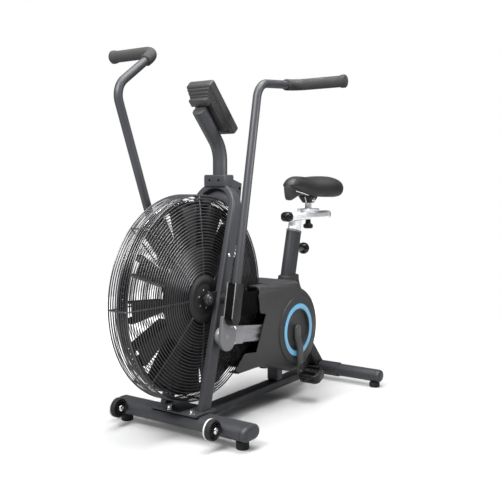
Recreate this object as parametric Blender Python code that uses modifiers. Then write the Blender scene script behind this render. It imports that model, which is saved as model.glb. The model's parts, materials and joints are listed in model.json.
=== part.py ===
# An air bike: a fan in a wire guard, driven by pedals and by two swinging levers.
# Metres, +Z up, +X to the rider's left, +Y to the rear, floor at z = 0.

import bpy
import bmesh
from math import atan2, asin, cos, pi, radians, sin, tan
from mathutils import Matrix, Vector

# Clearances
GAP = 0.0003
RUNNING = 0.0015

# Main axes, all along X
FAN_Y = -0.294
FAN_Z = 0.460
CRANK_Y = 0.228
CRANK_Z = 0.276
PIVOT_Y = -0.237
PIVOT_Z = 0.458

# Floor bars and feet
FRONT_BAR_Y = -0.349
REAR_BAR_Y = 0.562
BAR_Z = 0.057
BAR_RADIUS = 0.025
BAR_DEPTH = 0.090
REAR_BAR_Z = 0.048
REAR_BAR_RADIUS = 0.026
FRONT_BAR_HALF = 0.296
REAR_BAR_HALF = 0.312
FRONT_FOOT_X = 0.255
REAR_FOOT_X = 0.279
FOOT_RADIUS = 0.0215
FOOT_STEP = 0.0025
SLEEVE_HALF = 0.115
SLEEVE_WALL = 0.004

# Transport wheels
WHEEL_LEFT_X = 0.195
WHEEL_RIGHT_X = -0.2175
WHEEL_Y = -0.43
WHEEL_Z = 0.072
WHEEL_RADIUS = 0.034
WHEEL_HALF = 0.012
WHEEL_AXLE = 0.006
WHEEL_ARM = 0.006

# Base frame
BASE_PLATE_HALF = 0.102
BASE_PLATE_DEPTH = 0.104
BASE_PLATE_THICK = 0.008
BEAM_HALF = 0.025
BEAM_LOW = 0.028
BEAM_HIGH = 0.062
LEG_INNER = 0.069
LEG_OUTER = 0.093
LEG_DEPTH = 0.050
LEG_LEAN = radians(14.8)
LEG_OFFSET = 0.005
ARCH_TOP_Z = 0.846
COLLAR_HALF = 0.044
COLLAR_DEPTH = 0.054
COLLAR_Y = -0.137
COLLAR_LOW = 0.834
COLLAR_HIGH = 0.876
BOTTLE_PLATE_HALF = 0.022
BOTTLE_PLATE_BACK = -0.029
BOTTLE_PLATE_LOW = 0.782
RAIL_LOW = 0.398
RAIL_HIGH = 0.456
RAIL_BACK = 0.238
RAIL_CROSS = 0.040
RAIL_CROSS_RISE = 0.014
STAY_HALF = 0.025
STAY_DEPTH = 0.050
STAY_FOOT_OFFSET = 0.006
STAY_LEAN = radians(48.5)

# Console and its mast
MAST_RADIUS = 0.0255
MAST_Y = -0.129
MAST_BEND = 0.110
CONSOLE_Y = -0.1572
CONSOLE_Z = 1.1175
CONSOLE_TILT = radians(42.2)
CONSOLE_WIDTH = 0.107
CONSOLE_LENGTH = 0.212
CONSOLE_THICK = 0.035
CONSOLE_HOUSING = 0.034
CONSOLE_BLOCK_HALF = 0.040
CONSOLE_MAST_END = 0.038
CONSOLE_MAST_DROP = 0.0195
SCREEN_MARGIN = 0.011
SCREEN_LENGTH = 0.112
SCREEN_THICK = 0.002
BUTTON_COUNT = 3
BUTTON_RADIUS = 0.009
BUTTON_PITCH = 0.029
BUTTON_PROUD = 0.003
BUTTON_TRAVEL = 0.0015
BUTTON_ALONG = -0.075

# Seat
SEAT_FOOT_Y = 0.222
SEAT_LEAN = radians(13.9)
SEAT_TUBE_TOP_Z = 0.655
SEAT_TUBE_LOW_Z = 0.262
SUPPORT_DEPTH = 0.039
SEAT_TUBE_HALF_X = 0.0225
SEAT_TUBE_HALF_Y = 0.0375
SEAT_TUBE_WALL = 0.004
POST_DEPTH = 0.300
SLIDER_Z = 0.711
SLIDER_HEIGHT = 0.033
SLIDER_WIDTH = 0.040
SLIDER_FRONT = 0.296
SLIDER_BACK = 0.645
STEM_Y = 0.481
SADDLE_FORWARD = 0.045
SADDLE_REARWARD = 0.110
STEM_RADIUS = 0.0135
CARRIAGE_HALF_X = 0.030
CARRIAGE_HALF_Y = 0.045
CARRIAGE_THICK = 0.012
CLAMP_HALF = 0.031
CLAMP_LOW = 0.764
CLAMP_HIGH = 0.792
BOLT_RADIUS = 0.005
SLIDER_KNOB_RADIUS = 0.020
SLIDER_KNOB_HEIGHT = 0.038
PIN_ALONG = 0.551
PIN_RADIUS = 0.005
PIN_KNOB_RADIUS = 0.0245
PIN_KNOB_LENGTH = 0.046
PIN_NECK = 0.032
SADDLE_NOSE = 0.306
SADDLE_TAIL = 0.624
SADDLE_HALF = 0.120
SADDLE_TOP_Z = 0.874
BOOT_TOP_Z = 0.474
BOOT_DEPTH = 0.090
BOOT_TOP_HALF = 0.031
BOOT_FOOT_HALF = 0.046
BOOT_TOP_FRONT = 0.047
BOOT_TOP_BACK = 0.056
BOOT_FOOT_FRONT = 0.050
BOOT_FOOT_BACK = 0.116

# Fan, guard and belt
GUARD_RADIUS = 0.351
GUARD_WIRE = 0.0035
GUARD_HALF = 0.042
GUARD_DOME_X = 0.058
GUARD_FLAT_X = 0.0435
GUARD_HUB = 0.082
GUARD_RINGS = 3
GUARD_SPOKES = 8
GUARD_SPOKE_TURN = radians(2.5)
GUARD_SEGMENTS = 24
HUB_FACE_X = 0.063
AXLE_RADIUS = 0.008
AXLE_TAB = 0.022
AXLE_TAB_LOW = 0.072
AXLE_TAB_HIGH = 0.080
AXLE_NUT = 0.014
BLADE_COUNT = 13
BLADE_PHASE = radians(15.3)
BLADE_SPREAD = radians(11.9)
BLADE_ROOT = 0.140
BLADE_TIP = 0.318
BLADE_WALL = 0.003
BLADE_LOW = -0.030
BLADE_HIGH = 0.0315
ROTOR_DISC = 0.150
ROTOR_DISC_HIGH = 0.032
ROTOR_DISC_THICK = 0.004
TIP_RING_INNER = 0.309
TIP_RING_OUTER = 0.327
TIP_RING_HALF = 0.002
ROTOR_HUB = 0.048
ROTOR_LOW = -0.030
ROTOR_HIGH = 0.036
ROTOR_SLEEVE = 0.016
BELT_CENTRE_X = -0.053
BELT_WIDTH = 0.010
BELT_THICK = 0.004
FAN_PULLEY_RADIUS = 0.026
DRIVE_PULLEY_RADIUS = 0.112
PULLEY_LIP = 0.001
BELT_GUARD_WALL = 0.0015
BELT_GUARD_MARGIN = 0.007
BELT_GUARD_BACK = 0.003

# Crank, pedals and linkage
AXLE_SHAFT = 0.010
BOTTOM_BRACKET_RADIUS = 0.024
BOTTOM_BRACKET_HALF = 0.044
CRANK_LENGTH = 0.170
CRANK_BOSS = 0.020
CRANK_END = 0.014
CRANK_THICK = 0.012
CRANK_BEND_START = 0.022
CRANK_BEND_END = 0.074
SPINDLE_RADIUS = 0.0065
PEDAL_WIDTH = 0.084
PEDAL_LENGTH = 0.068
PEDAL_THICK = 0.036
PEDAL_STANDOFF = 0.0065
PEDAL_TILT = radians(25.0)
SWING_HALF = radians(15.55)
LEVER_NEUTRAL = radians(-4.75)
ROCKER_LENGTH = 0.127
ROCKER_TOP = 0.030
ROCKER_END = 0.044
ROD_EYE = 0.030
ROD_HALF_HEIGHT = 0.029
ROD_PIN = 0.008
ROD_PIN_HEAD = 0.014
STRAP_BORE = 0.050
STRAP_WALL = 0.011
ECCENTRIC_RADIUS = 0.047
ECCENTRIC_THICK = 0.014
ROD_THICK = 0.012
ROD_FRONT_THICK = 0.016
ROD_FRONT_LENGTH = 0.100

# Levers
LEVER_X = 0.143
LEVER_RADIUS = 0.014
LEVER_LENGTH = 0.743
HANDLE_REACH = 0.240
HANDLE_TURN = radians(75.0)
HANDLE_BEND = 0.065
GRIP_BEND = 0.048
GRIP_TIP_X = 0.352
GRIP_RADIUS = 0.0205
GRIP_CAP_RADIUS = 0.0235
GRIP_CAP = 0.010
GRIP_START = 0.066
CHANNEL_DEPTH = 0.040
CHANNEL_WALL = 0.004
CHANNEL_PROUD = 0.001
CHANNEL_LOW = -0.085
CHANNEL_HIGH = 0.055
LEVER_FOOT = 0.015
ROCKER_THICK = 0.014
LEVER_SHAFT = 0.010
SHAFT_SHOULDER = 0.018
SHAFT_HEAD = 0.015
SHAFT_HEAD_THICK = 0.006

# Drive cover
COVER_FACE_X = 0.104
COVER_WALL = 0.0025
COVER_RADIUS = 0.166
COVER_EDGE = 0.026
COVER_EDGE_STEPS = 3
COVER_TOP_FRONT = (-0.027, 0.474)
COVER_TOP_BACK = (0.245, 0.466)
COVER_ARC_START = radians(75.0)
COVER_ARC_END = radians(-100.0)
COVER_BELLY = (0.009, 0.176)
COVER_CHIN = (-0.150, 0.176)
COVER_TIP = (-0.180, 0.197)
COVER_LIP_LOW = (-0.124, 0.245)
COVER_NOTCH_LOW = (-0.051, 0.238)
COVER_NOTCH_HIGH = (0.011, 0.369)
COVER_FLAP_LOW = (-0.026, 0.377)
COVER_FLAP_HIGH = (-0.038, 0.439)
COVER_BELLY_DRAW = 0.35
COVER_TO_GUARD = 0.008
CAP_RADIUS = 0.131
CAP_THICK = 0.004
CAP_DISH = 0.079
CAP_DISH_DEPTH = 0.011
CAP_WALL = 0.0025
RING_INNER = 0.081
RING_OUTER = 0.101
RING_THICK = 0.002

# Worked out from the above
BAR_TOP = BAR_Z + BAR_RADIUS
BAR_BOTTOM = BAR_Z - BAR_RADIUS
PLATE_TOP = BAR_TOP + GAP + BASE_PLATE_THICK
DISH_FACE_X = COVER_FACE_X + GAP + CAP_THICK - CAP_DISH_DEPTH
DISH_BACK_X = DISH_FACE_X - CAP_WALL
CAP_FACE_X = COVER_FACE_X + GAP + CAP_THICK
RING_FACE_X = CAP_FACE_X + GAP + RING_THICK
CRANK_INNER_X = RING_FACE_X + RUNNING
CRANK_FACE_X = CRANK_INNER_X + CRANK_THICK
BOSS_INNER_X = DISH_FACE_X + RUNNING
BOSS_FACE_X = BOSS_INNER_X + CRANK_THICK
STRAP_OUTER_X = DISH_BACK_X - RUNNING
STRAP_INNER_X = STRAP_OUTER_X - ROD_THICK
ECCENTRIC_OUTER_X = STRAP_INNER_X - RUNNING
ECCENTRIC_OFFSET = ROCKER_LENGTH * sin(SWING_HALF)
CHANNEL_HALF = LEVER_RADIUS + CHANNEL_PROUD
CHANNEL_INNER_X = LEVER_X - CHANNEL_HALF
ROCKER_OUTER_X = CHANNEL_INNER_X - GAP
ROCKER_INNER_X = ROCKER_OUTER_X - ROCKER_THICK
ROD_FRONT_OUTER_X = ROCKER_INNER_X - RUNNING
ROD_FRONT_INNER_X = ROD_FRONT_OUTER_X - ROD_FRONT_THICK
BELT_LOW_X = BELT_CENTRE_X - BELT_WIDTH / 2
BELT_HIGH_X = BELT_CENTRE_X + BELT_WIDTH / 2
SLIDER_TOP = SLIDER_Z + SLIDER_HEIGHT / 2
SLIDER_BOTTOM = SLIDER_Z - SLIDER_HEIGHT / 2
MATERIALS = {}


def clear_scene():
    for item in list(bpy.data.objects):
        bpy.data.objects.remove(item, do_unlink=True)


def new_collection(name):
    group = bpy.data.collections.new(name)
    bpy.context.scene.collection.children.link(group)
    return group


def finish_named(name, colour, roughness, metallic):
    material = bpy.data.materials.new(name)
    material.use_nodes = True
    shader = material.node_tree.nodes["Principled BSDF"]
    shader.inputs["Base Color"].default_value = (*colour, 1.0)
    shader.inputs["Roughness"].default_value = roughness
    shader.inputs["Metallic"].default_value = metallic
    MATERIALS[name] = material


def make_materials():
    finish_named("charcoal_paint", (0.055, 0.055, 0.062), 0.45, 0.3)
    finish_named("black_plastic", (0.020, 0.020, 0.022), 0.50, 0.0)
    finish_named("grey_plastic", (0.060, 0.060, 0.066), 0.48, 0.0)
    finish_named("blue_plastic", (0.10, 0.42, 0.72), 0.30, 0.0)
    finish_named("cast_aluminium", (0.33, 0.33, 0.35), 0.40, 0.9)
    finish_named("bright_aluminium", (0.75, 0.76, 0.78), 0.25, 1.0)
    finish_named("steel", (0.45, 0.45, 0.47), 0.30, 1.0)
    finish_named("black_wire", (0.012, 0.012, 0.014), 0.35, 0.4)
    finish_named("foam", (0.022, 0.022, 0.024), 0.85, 0.0)
    finish_named("saddle_skin", (0.025, 0.025, 0.028), 0.60, 0.0)
    finish_named("rubber", (0.015, 0.015, 0.016), 0.80, 0.0)
    finish_named("glass", (0.010, 0.012, 0.016), 0.08, 0.0)


# Making solids

def adopt(item, name, material):
    item.name = name
    PARTS.objects.link(item)
    if material:
        item.data.materials.clear()
        item.data.materials.append(MATERIALS[material])
    return item


def mesh_object(name, build, material):
    mesh = bpy.data.meshes.new(name)
    work = bmesh.new()
    build(work)
    work.to_mesh(mesh)
    work.free()
    return adopt(bpy.data.objects.new(name, mesh), name, material)


def shade_round(item, angle=40.0):
    item.data.shade_smooth()
    item.data.set_sharp_from_angle(angle=radians(angle))
    return item


def box(name, low, high, material, edge=0.0):
    centre = (Vector(low) + Vector(high)) / 2
    size = Vector(high) - Vector(low)

    def build(work):
        bmesh.ops.create_cube(work, size=1.0, matrix=Matrix.Diagonal((*size, 1.0)))

    item = mesh_object(name, build, material)
    item.location = centre
    if edge:
        soften(item, edge)
    return item


def soften(item, width, segments=2):
    bevel = item.modifiers.new("rounded_edges", "BEVEL")
    bevel.width = width
    bevel.segments = segments
    bevel.limit_method = "ANGLE"
    bevel.angle_limit = radians(50.0)
    return item


def turned(name, profile, place, direction, material, steps=16, closed=False):
    def build(work):
        points = [work.verts.new((radius, 0.0, along)) for radius, along in profile]
        for first, second in zip(points, points[1:]):
            work.edges.new((first, second))
        if closed:
            work.edges.new((points[-1], points[0]))

    item = mesh_object(name, build, material)
    screw = item.modifiers.new("turning", "SCREW")
    screw.steps = steps
    screw.render_steps = steps
    screw.use_merge_vertices = True
    screw.merge_threshold = 0.00001
    screw.use_smooth_shade = True
    item.location = place
    item.rotation_euler = Vector((0.0, 0.0, 1.0)).rotation_difference(Vector(direction)).to_euler()
    return item


def rod(name, radius, start, end, material, steps=16):
    length = (Vector(end) - Vector(start)).length
    profile = [(0.0, length), (radius, length), (radius, 0.0), (0.0, 0.0)]
    return turned(name, profile, start, Vector(end) - Vector(start), material, steps)


def as_mesh(curve_item, name, material):
    graph = bpy.context.evaluated_depsgraph_get()
    mesh = bpy.data.meshes.new_from_object(curve_item.evaluated_get(graph))
    work = bmesh.new()
    work.from_mesh(mesh)
    bmesh.ops.remove_doubles(work, verts=work.verts, dist=0.00001)
    work.to_mesh(mesh)
    work.free()
    place = curve_item.matrix_world.copy()
    bpy.data.objects.remove(curve_item, do_unlink=True)
    item = adopt(bpy.data.objects.new(name, mesh), name, material)
    item.matrix_world = place
    return item


def plate(name, outlines, low, high, material):
    curve = bpy.data.curves.new(name, "CURVE")
    curve.dimensions = "2D"
    curve.fill_mode = "BOTH"
    curve.extrude = (high - low) / 2
    for outline in outlines:
        spline = curve.splines.new("POLY")
        spline.points.add(len(outline) - 1)
        for point, (y, z) in zip(spline.points, outline):
            point.co = (y, z, 0.0, 1.0)
        spline.use_cyclic_u = True
    item = bpy.data.objects.new(name, curve)
    PARTS.objects.link(item)
    item.location = ((low + high) / 2, 0.0, 0.0)
    item.rotation_euler = (pi / 2, 0.0, pi / 2)
    bpy.context.view_layer.update()
    return as_mesh(item, name, material)


def tube(name, points, radius, material, resolution=4):
    curve = bpy.data.curves.new(name, "CURVE")
    curve.dimensions = "3D"
    curve.bevel_depth = radius
    curve.bevel_resolution = resolution
    curve.use_fill_caps = True
    spline = curve.splines.new("POLY")
    spline.points.add(len(points) - 1)
    for point, place in zip(spline.points, points):
        point.co = (*place, 1.0)
    item = bpy.data.objects.new(name, curve)
    PARTS.objects.link(item)
    bpy.context.view_layer.update()
    return shade_round(as_mesh(item, name, material))


def loft(name, rings, material):
    def build(work):
        loops = [[work.verts.new(point) for point in ring] for ring in rings]
        for first, second in zip(loops, loops[1:]):
            for index in range(len(first)):
                after = (index + 1) % len(first)
                work.faces.new((first[index], first[after], second[after], second[index]))
        work.faces.new(loops[0])
        work.faces.new(loops[-1])
        bmesh.ops.recalc_face_normals(work, faces=work.faces)

    return mesh_object(name, build, material)


def arc(centre_y, centre_z, radius, start, end, steps):
    spread = (end - start) / steps
    angles = [start + spread * step for step in range(steps + 1)]
    return [(centre_y + radius * cos(a), centre_z + radius * sin(a)) for a in angles]


def rounded(points, bends, steps=4):
    path = [Vector(points[0])]
    for before, corner, after, bend in zip(points, points[1:], points[2:], bends):
        corner = Vector(corner)
        back = (Vector(before) - corner).normalized()
        on = (Vector(after) - corner).normalized()
        half = back.angle(on) / 2
        centre = corner + (back + on).normalized() * bend / sin(half)
        start = corner + back * bend / tan(half) - centre
        finish = corner + on * bend / tan(half) - centre
        for step in range(steps + 1):
            spread = start.normalized().slerp(finish.normalized(), step / steps)
            path.append(centre + spread.normalized() * bend)
    path.append(Vector(points[-1]))
    return path


def obround(half_length, radius, steps=6):
    right = arc(half_length - radius, 0.0, radius, -pi / 2, pi / 2, steps)
    left = arc(radius - half_length, 0.0, radius, pi / 2, 3 * pi / 2, steps)
    return right + left


def two_circles(first, first_radius, second, second_radius, steps=8):
    across = Vector(second) - Vector(first)
    heading = atan2(across.y, across.x)
    spread = asin((first_radius - second_radius) / across.length)
    edge = pi / 2 - spread
    near = arc(*second, second_radius, heading - edge, heading + edge, steps)
    far = arc(*first, first_radius, heading + edge, heading + 2 * pi - edge, steps)
    return near + far


# Joining and cutting solids

def set_aside(tool):
    tool.hide_render = True
    tool.display_type = "WIRE"
    PARTS.objects.unlink(tool)
    CUTTERS.objects.link(tool)


def combine(item, tool, operation):
    change = item.modifiers.new(operation.lower(), "BOOLEAN")
    change.operation = operation
    change.solver = "EXACT"
    change.object = tool
    if CUTTERS not in tool.users_collection:
        set_aside(tool)
    return item


def cut(item, *tools):
    for tool in tools:
        combine(item, tool, "DIFFERENCE")
    return item


def join(item, *tools):
    for tool in tools:
        combine(item, tool, "UNION")
    return item


def joint_empty(name, place, lean=0.0):
    empty = bpy.data.objects.new(name, None)
    empty.location = place
    empty.rotation_euler = (lean, 0.0, 0.0)
    PARTS.objects.link(empty)
    bpy.context.view_layer.update()
    return empty


def hang_on(empty, *items):
    bpy.context.view_layer.update()
    for item in items:
        item.parent = empty
        item.matrix_parent_inverse = empty.matrix_world.inverted()


def side_name(side):
    return "left" if side > 0 else "right"


def both_ends(side, low, high):
    return (low, high) if side > 0 else (-high, -low)


# Floor bars, feet and wheels

def front_bar_section():
    section = obround(BAR_DEPTH / 2, BAR_RADIUS)
    return [(FRONT_BAR_Y + y, BAR_Z + z) for y, z in section]


def rear_bar_section(grow=0.0):
    return arc(REAR_BAR_Y, REAR_BAR_Z, REAR_BAR_RADIUS + grow, 0.0, 2 * pi * 23 / 24, 23)


def floor_bars():
    front = plate("front_stabiliser", [front_bar_section()], -FRONT_BAR_HALF, FRONT_BAR_HALF, "charcoal_paint")
    for wheel_x in (WHEEL_LEFT_X, WHEEL_RIGHT_X):
        arm_x = wheel_x - WHEEL_HALF - RUNNING
        arm_outline = two_circles((FRONT_BAR_Y, BAR_Z), BAR_RADIUS * 0.8, (WHEEL_Y, WHEEL_Z), WHEEL_AXLE * 2)
        arm = plate("wheel_arm", [arm_outline], arm_x - WHEEL_ARM, arm_x, None)
        reach = arm_x + 2 * (WHEEL_HALF + RUNNING)
        axle = rod("wheel_axle", WHEEL_AXLE, (arm_x - WHEEL_ARM / 2, WHEEL_Y, WHEEL_Z), (reach, WHEEL_Y, WHEEL_Z),
                   None, 16)
        head = rod("wheel_bolt_head", WHEEL_AXLE * 1.8, (reach - GAP, WHEEL_Y, WHEEL_Z),
                   (reach + WHEEL_AXLE, WHEEL_Y, WHEEL_Z), None, 6)
        join(front, arm, axle, head)
    plate("rear_stabiliser", [rear_bar_section()], -REAR_BAR_HALF, REAR_BAR_HALF, "charcoal_paint")


def feet():
    for end, x, y, top in (("front", FRONT_FOOT_X, FRONT_BAR_Y, BAR_BOTTOM - GAP),
                           ("rear", REAR_FOOT_X, REAR_BAR_Y, REAR_BAR_Z - REAR_BAR_RADIUS - GAP)):
        for side in (1, -1):
            shoulder = FOOT_RADIUS - FOOT_STEP
            profile = [(0.0, top), (shoulder, top), (shoulder, top - FOOT_STEP), (FOOT_RADIUS, top - 2 * FOOT_STEP),
                       (FOOT_RADIUS, FOOT_STEP), (shoulder, 0.0), (0.0, 0.0)]
            turned(f"foot_{end}_{side_name(side)}", profile, (side * x, y, 0.0), (0, 0, 1), "rubber", 16)


def transport_wheels():
    for side, wheel_x in ((1, WHEEL_LEFT_X), (-1, WHEEL_RIGHT_X)):
        bore = WHEEL_AXLE + GAP
        tread = WHEEL_RADIUS * 0.92
        profile = [(bore, WHEEL_HALF), (tread, WHEEL_HALF), (WHEEL_RADIUS, WHEEL_HALF / 2),
                   (WHEEL_RADIUS, -WHEEL_HALF / 2), (tread, -WHEEL_HALF), (bore, -WHEEL_HALF)]
        turned(f"transport_wheel_{side_name(side)}", profile, (wheel_x, WHEEL_Y, WHEEL_Z), (1, 0, 0), "rubber", 16,
               closed=True)


# Base frame, fork and rails

def leg_centre_y(z):
    return PIVOT_Y + LEG_OFFSET + (z - PIVOT_Z) * tan(LEG_LEAN)


def leg_solid(name, side, grow, material):
    foot = (BAR_Z - PIVOT_Z) / cos(LEG_LEAN)
    spring = (ARCH_TOP_Z - PIVOT_Z) / cos(LEG_LEAN) - LEG_OUTER
    outer = LEG_OUTER + grow
    inner = LEG_INNER - grow
    middle = -GAP if grow else GAP / 2
    sweep = asin(middle / outer)
    outline = [(inner, foot), (outer, foot)]
    outline += arc(0.0, spring, outer, 0.0, pi / 2 - sweep, 10)
    outline += arc(0.0, spring, inner, pi / 2 - asin(middle / inner), 0.0, 10)
    half = LEG_DEPTH / 2 + grow
    item = plate(name, [[(side * x, s) for x, s in outline]], -half, half, material)
    tilt = Matrix.Rotation(-LEG_LEAN, 4, "X") @ Matrix.Rotation(pi / 2, 4, "X")
    item.matrix_world = Matrix.Translation((0.0, PIVOT_Y + LEG_OFFSET, PIVOT_Z)) @ tilt
    return item


def fork():
    for side in (1, -1):
        leg = leg_solid(f"fork_leg_{side_name(side)}", side, 0.0, "charcoal_paint")
        low, high = both_ends(side, AXLE_TAB_LOW, AXLE_TAB_HIGH)
        tab_end = (leg_centre_y(FAN_Z), FAN_Z)
        tab = plate("axle_tab", [two_circles(tab_end, AXLE_TAB * 1.05, (FAN_Y, FAN_Z), AXLE_TAB)], low, high, None)
        join(leg, tab)
        below = box("leg_trim", (-1.0, -1.0, -1.0), (1.0, 1.0, PLATE_TOP + GAP), None)
        hole = rod("shaft_hole", LEVER_SHAFT + GAP, (side * 0.01, PIVOT_Y, PIVOT_Z), (side * 0.2, PIVOT_Y, PIVOT_Z),
                   None)
        axle = rod("axle_hole", AXLE_RADIUS + GAP, (side * 0.01, FAN_Y, FAN_Z), (side * 0.2, FAN_Y, FAN_Z), None)
        cut(leg, below, hole, axle)


def base_frame():
    plate_front = FRONT_BAR_Y - BAR_DEPTH / 2
    box("base_plate", (-BASE_PLATE_HALF, plate_front, BAR_TOP + GAP),
        (BASE_PLATE_HALF, plate_front + BASE_PLATE_DEPTH, PLATE_TOP), "charcoal_paint", 0.002)
    beam = box("base_beam", (-BEAM_HALF, FRONT_BAR_Y + BAR_DEPTH / 2 + GAP, BEAM_LOW),
               (BEAM_HALF, REAR_BAR_Y, BEAM_HIGH), "charcoal_paint", 0.008)
    sleeve_room = plate("beam_trim", [rear_bar_section(SLEEVE_WALL + 2 * GAP)], -SLEEVE_HALF, SLEEVE_HALF, None)
    behind = box("beam_back_trim", (-SLEEVE_HALF, REAR_BAR_Y - REAR_BAR_RADIUS / 2, 0.0), (SLEEVE_HALF, 0.8, 0.3), None)
    cut(beam, sleeve_room, behind, stay_solid("beam_stay_trim", 2 * GAP, None))


def seat_axis_y(z):
    return SEAT_FOOT_Y + (z - BEAM_HIGH) * tan(SEAT_LEAN)


def seat_axis(along, back=0.0):
    y = SEAT_FOOT_Y + along * sin(SEAT_LEAN) + back * cos(SEAT_LEAN)
    z = BEAM_HIGH + along * cos(SEAT_LEAN) - back * sin(SEAT_LEAN)
    return Vector((0.0, y, z))


def seat_prism(name, half_x, half_y, low, high, material):
    section = [(y, x) for y, x in obround(half_y, half_x)]
    item = plate(name, [section], low, high, material)
    turn = Matrix.Rotation(-SEAT_LEAN, 4, "X") @ Matrix.Rotation(pi / 2, 4, "Z")
    middle = Matrix.Translation((0.0, 0.0, (low + high) / 2))
    item.matrix_world = Matrix.Translation((0.0, SEAT_FOOT_Y, BEAM_HIGH)) @ turn @ middle
    return shade_round(item)


def seat_length(z):
    return (z - BEAM_HIGH) / cos(SEAT_LEAN)


def stay_solid(name, grow, material):
    foot_y = REAR_BAR_Y + STAY_FOOT_OFFSET
    low = Vector((0.0, foot_y, REAR_BAR_Z))
    rise = (foot_y - seat_axis_y(REAR_BAR_Z)) / (1 / tan(STAY_LEAN) + tan(SEAT_LEAN))
    high = Vector((0.0, foot_y - rise / tan(STAY_LEAN), REAR_BAR_Z + rise))
    half_x = STAY_HALF + grow
    half = STAY_DEPTH / 2 + grow
    length = (high - low).length
    item = box(name, (-half_x, -half, -length / 2), (half_x, half, length / 2), material)
    item.location = (low + high) / 2
    item.rotation_euler = (pi / 2 - STAY_LEAN, 0.0, 0.0)
    return item


def stay_front_room():
    start = seat_axis(0.0)
    end = seat_axis(seat_length(SEAT_TUBE_TOP_Z))
    ahead = Vector((0.0, -0.3, 0.0))
    outline = [start[1:], end[1:], (end + ahead)[1:], (start + ahead)[1:]]
    return plate("stay_front_trim", [outline], -0.2, 0.2, None)


def seat_frame():
    top = seat_length(SEAT_TUBE_TOP_Z)
    start = seat_length(SEAT_TUBE_LOW_Z) - SEAT_TUBE_HALF_Y
    tube_item = seat_prism("seat_tube", SEAT_TUBE_HALF_X, SEAT_TUBE_HALF_Y, start, top, "charcoal_paint")
    bore = seat_prism("post_bore", SEAT_TUBE_HALF_X - SEAT_TUBE_WALL, SEAT_TUBE_HALF_Y - SEAT_TUBE_WALL,
                      top - POST_DEPTH - 0.02, top + 0.02, None)
    floor = box("seat_tube_trim", (-0.2, -0.2, -0.2), (0.2, 0.6, SEAT_TUBE_LOW_Z), None)
    shell = rod("bracket_seat", BOTTOM_BRACKET_RADIUS + GAP, (-0.2, CRANK_Y, CRANK_Z), (0.2, CRANK_Y, CRANK_Z), None, 24)
    pin = rod("pin_hole", PIN_RADIUS + GAP, seat_axis(PIN_ALONG), seat_axis(PIN_ALONG, 0.1), None, 16)
    cut(tube_item, bore, floor, shell, pin)
    stay = stay_solid("rear_stay", 0.0, "charcoal_paint")
    tube_room = seat_prism("stay_top_trim", SEAT_TUBE_HALF_X + GAP, SEAT_TUBE_HALF_Y + GAP, 0.05, top, None)
    front_room = stay_front_room()
    cut(stay, tube_room, front_room)
    sleeve = plate("bar_sleeve", [rear_bar_section(SLEEVE_WALL)], -SLEEVE_HALF, SLEEVE_HALF, None)
    bar_room = plate("bar_room", [rear_bar_section(GAP)], -SLEEVE_HALF * 1.2, SLEEVE_HALF * 1.2, None)
    join(stay, sleeve)
    cut(stay, bar_room)
    bottom = [(BOTTOM_BRACKET_RADIUS, BOTTOM_BRACKET_HALF), (BOTTOM_BRACKET_RADIUS, -BOTTOM_BRACKET_HALF),
              (AXLE_SHAFT + GAP, -BOTTOM_BRACKET_HALF), (AXLE_SHAFT + GAP, BOTTOM_BRACKET_HALF)]
    bracket = box("bottom_bracket", (-BEAM_HALF, CRANK_Y - SUPPORT_DEPTH / 2, BEAM_HIGH + GAP),
                  (BEAM_HALF, CRANK_Y + SUPPORT_DEPTH / 2, SEAT_TUBE_LOW_Z - GAP), "charcoal_paint")
    spindle_room = rod("spindle_room", AXLE_SHAFT * 1.5, (-0.1, CRANK_Y, CRANK_Z), (0.1, CRANK_Y, CRANK_Z), None)
    cut(bracket, spindle_room)
    join(bracket, turned("bracket_shell", bottom, (0.0, CRANK_Y, CRANK_Z), (1, 0, 0), None, 24, closed=True))


def side_rails():
    for side in (1, -1):
        name = f"side_rail_{side_name(side)}"
        low, high = both_ends(side, LEG_INNER, LEG_OUTER)
        front = leg_centre_y(RAIL_LOW)
        rail = box(name, (low, front, RAIL_LOW), (high, RAIL_BACK, RAIL_HIGH), "charcoal_paint")
        if side > 0:
            cross_low = RAIL_LOW + RAIL_CROSS_RISE
            cross = box("rail_cross", (GAP - LEG_INNER, RAIL_BACK - RAIL_CROSS, cross_low),
                        (LEG_INNER + GAP, RAIL_BACK - GAP, RAIL_HIGH - 0.005), None)
            neck_half = SEAT_TUBE_HALF_X / 2
            neck = box("rail_neck", (-neck_half, RAIL_BACK - 0.01, cross_low + 0.002),
                       (neck_half, seat_axis_y(RAIL_HIGH) - SEAT_TUBE_HALF_Y * 0.75, cross_low + 0.015), None)
            room = seat_prism("rail_neck_trim", SEAT_TUBE_HALF_X + GAP, SEAT_TUBE_HALF_Y + GAP, 0.2, 0.5, None)
            join(rail, cross, neck)
            cut(rail, room)
        cut(rail, leg_solid("rail_leg_trim", side, GAP, None))


def crown():
    collar = box("crown_collar", (-COLLAR_HALF, COLLAR_Y - COLLAR_DEPTH / 2, COLLAR_LOW),
                 (COLLAR_HALF, COLLAR_Y + COLLAR_DEPTH / 2, COLLAR_HIGH), "charcoal_paint")
    bottle = box("bottle_plate", (-BOTTLE_PLATE_HALF, COLLAR_Y, BOTTLE_PLATE_LOW),
                 (BOTTLE_PLATE_HALF, BOTTLE_PLATE_BACK, COLLAR_HIGH - 0.014), None)
    join(collar, bottle)
    for side in (1, -1):
        cut(collar, leg_solid("collar_leg_trim", side, GAP, None))
    front = box("bottle_trim", (-COLLAR_HALF, COLLAR_Y - 0.1, BOTTLE_PLATE_LOW - 0.1),
                (COLLAR_HALF, COLLAR_Y, COLLAR_LOW - GAP), None)
    cut(collar, front)


# Console

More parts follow.
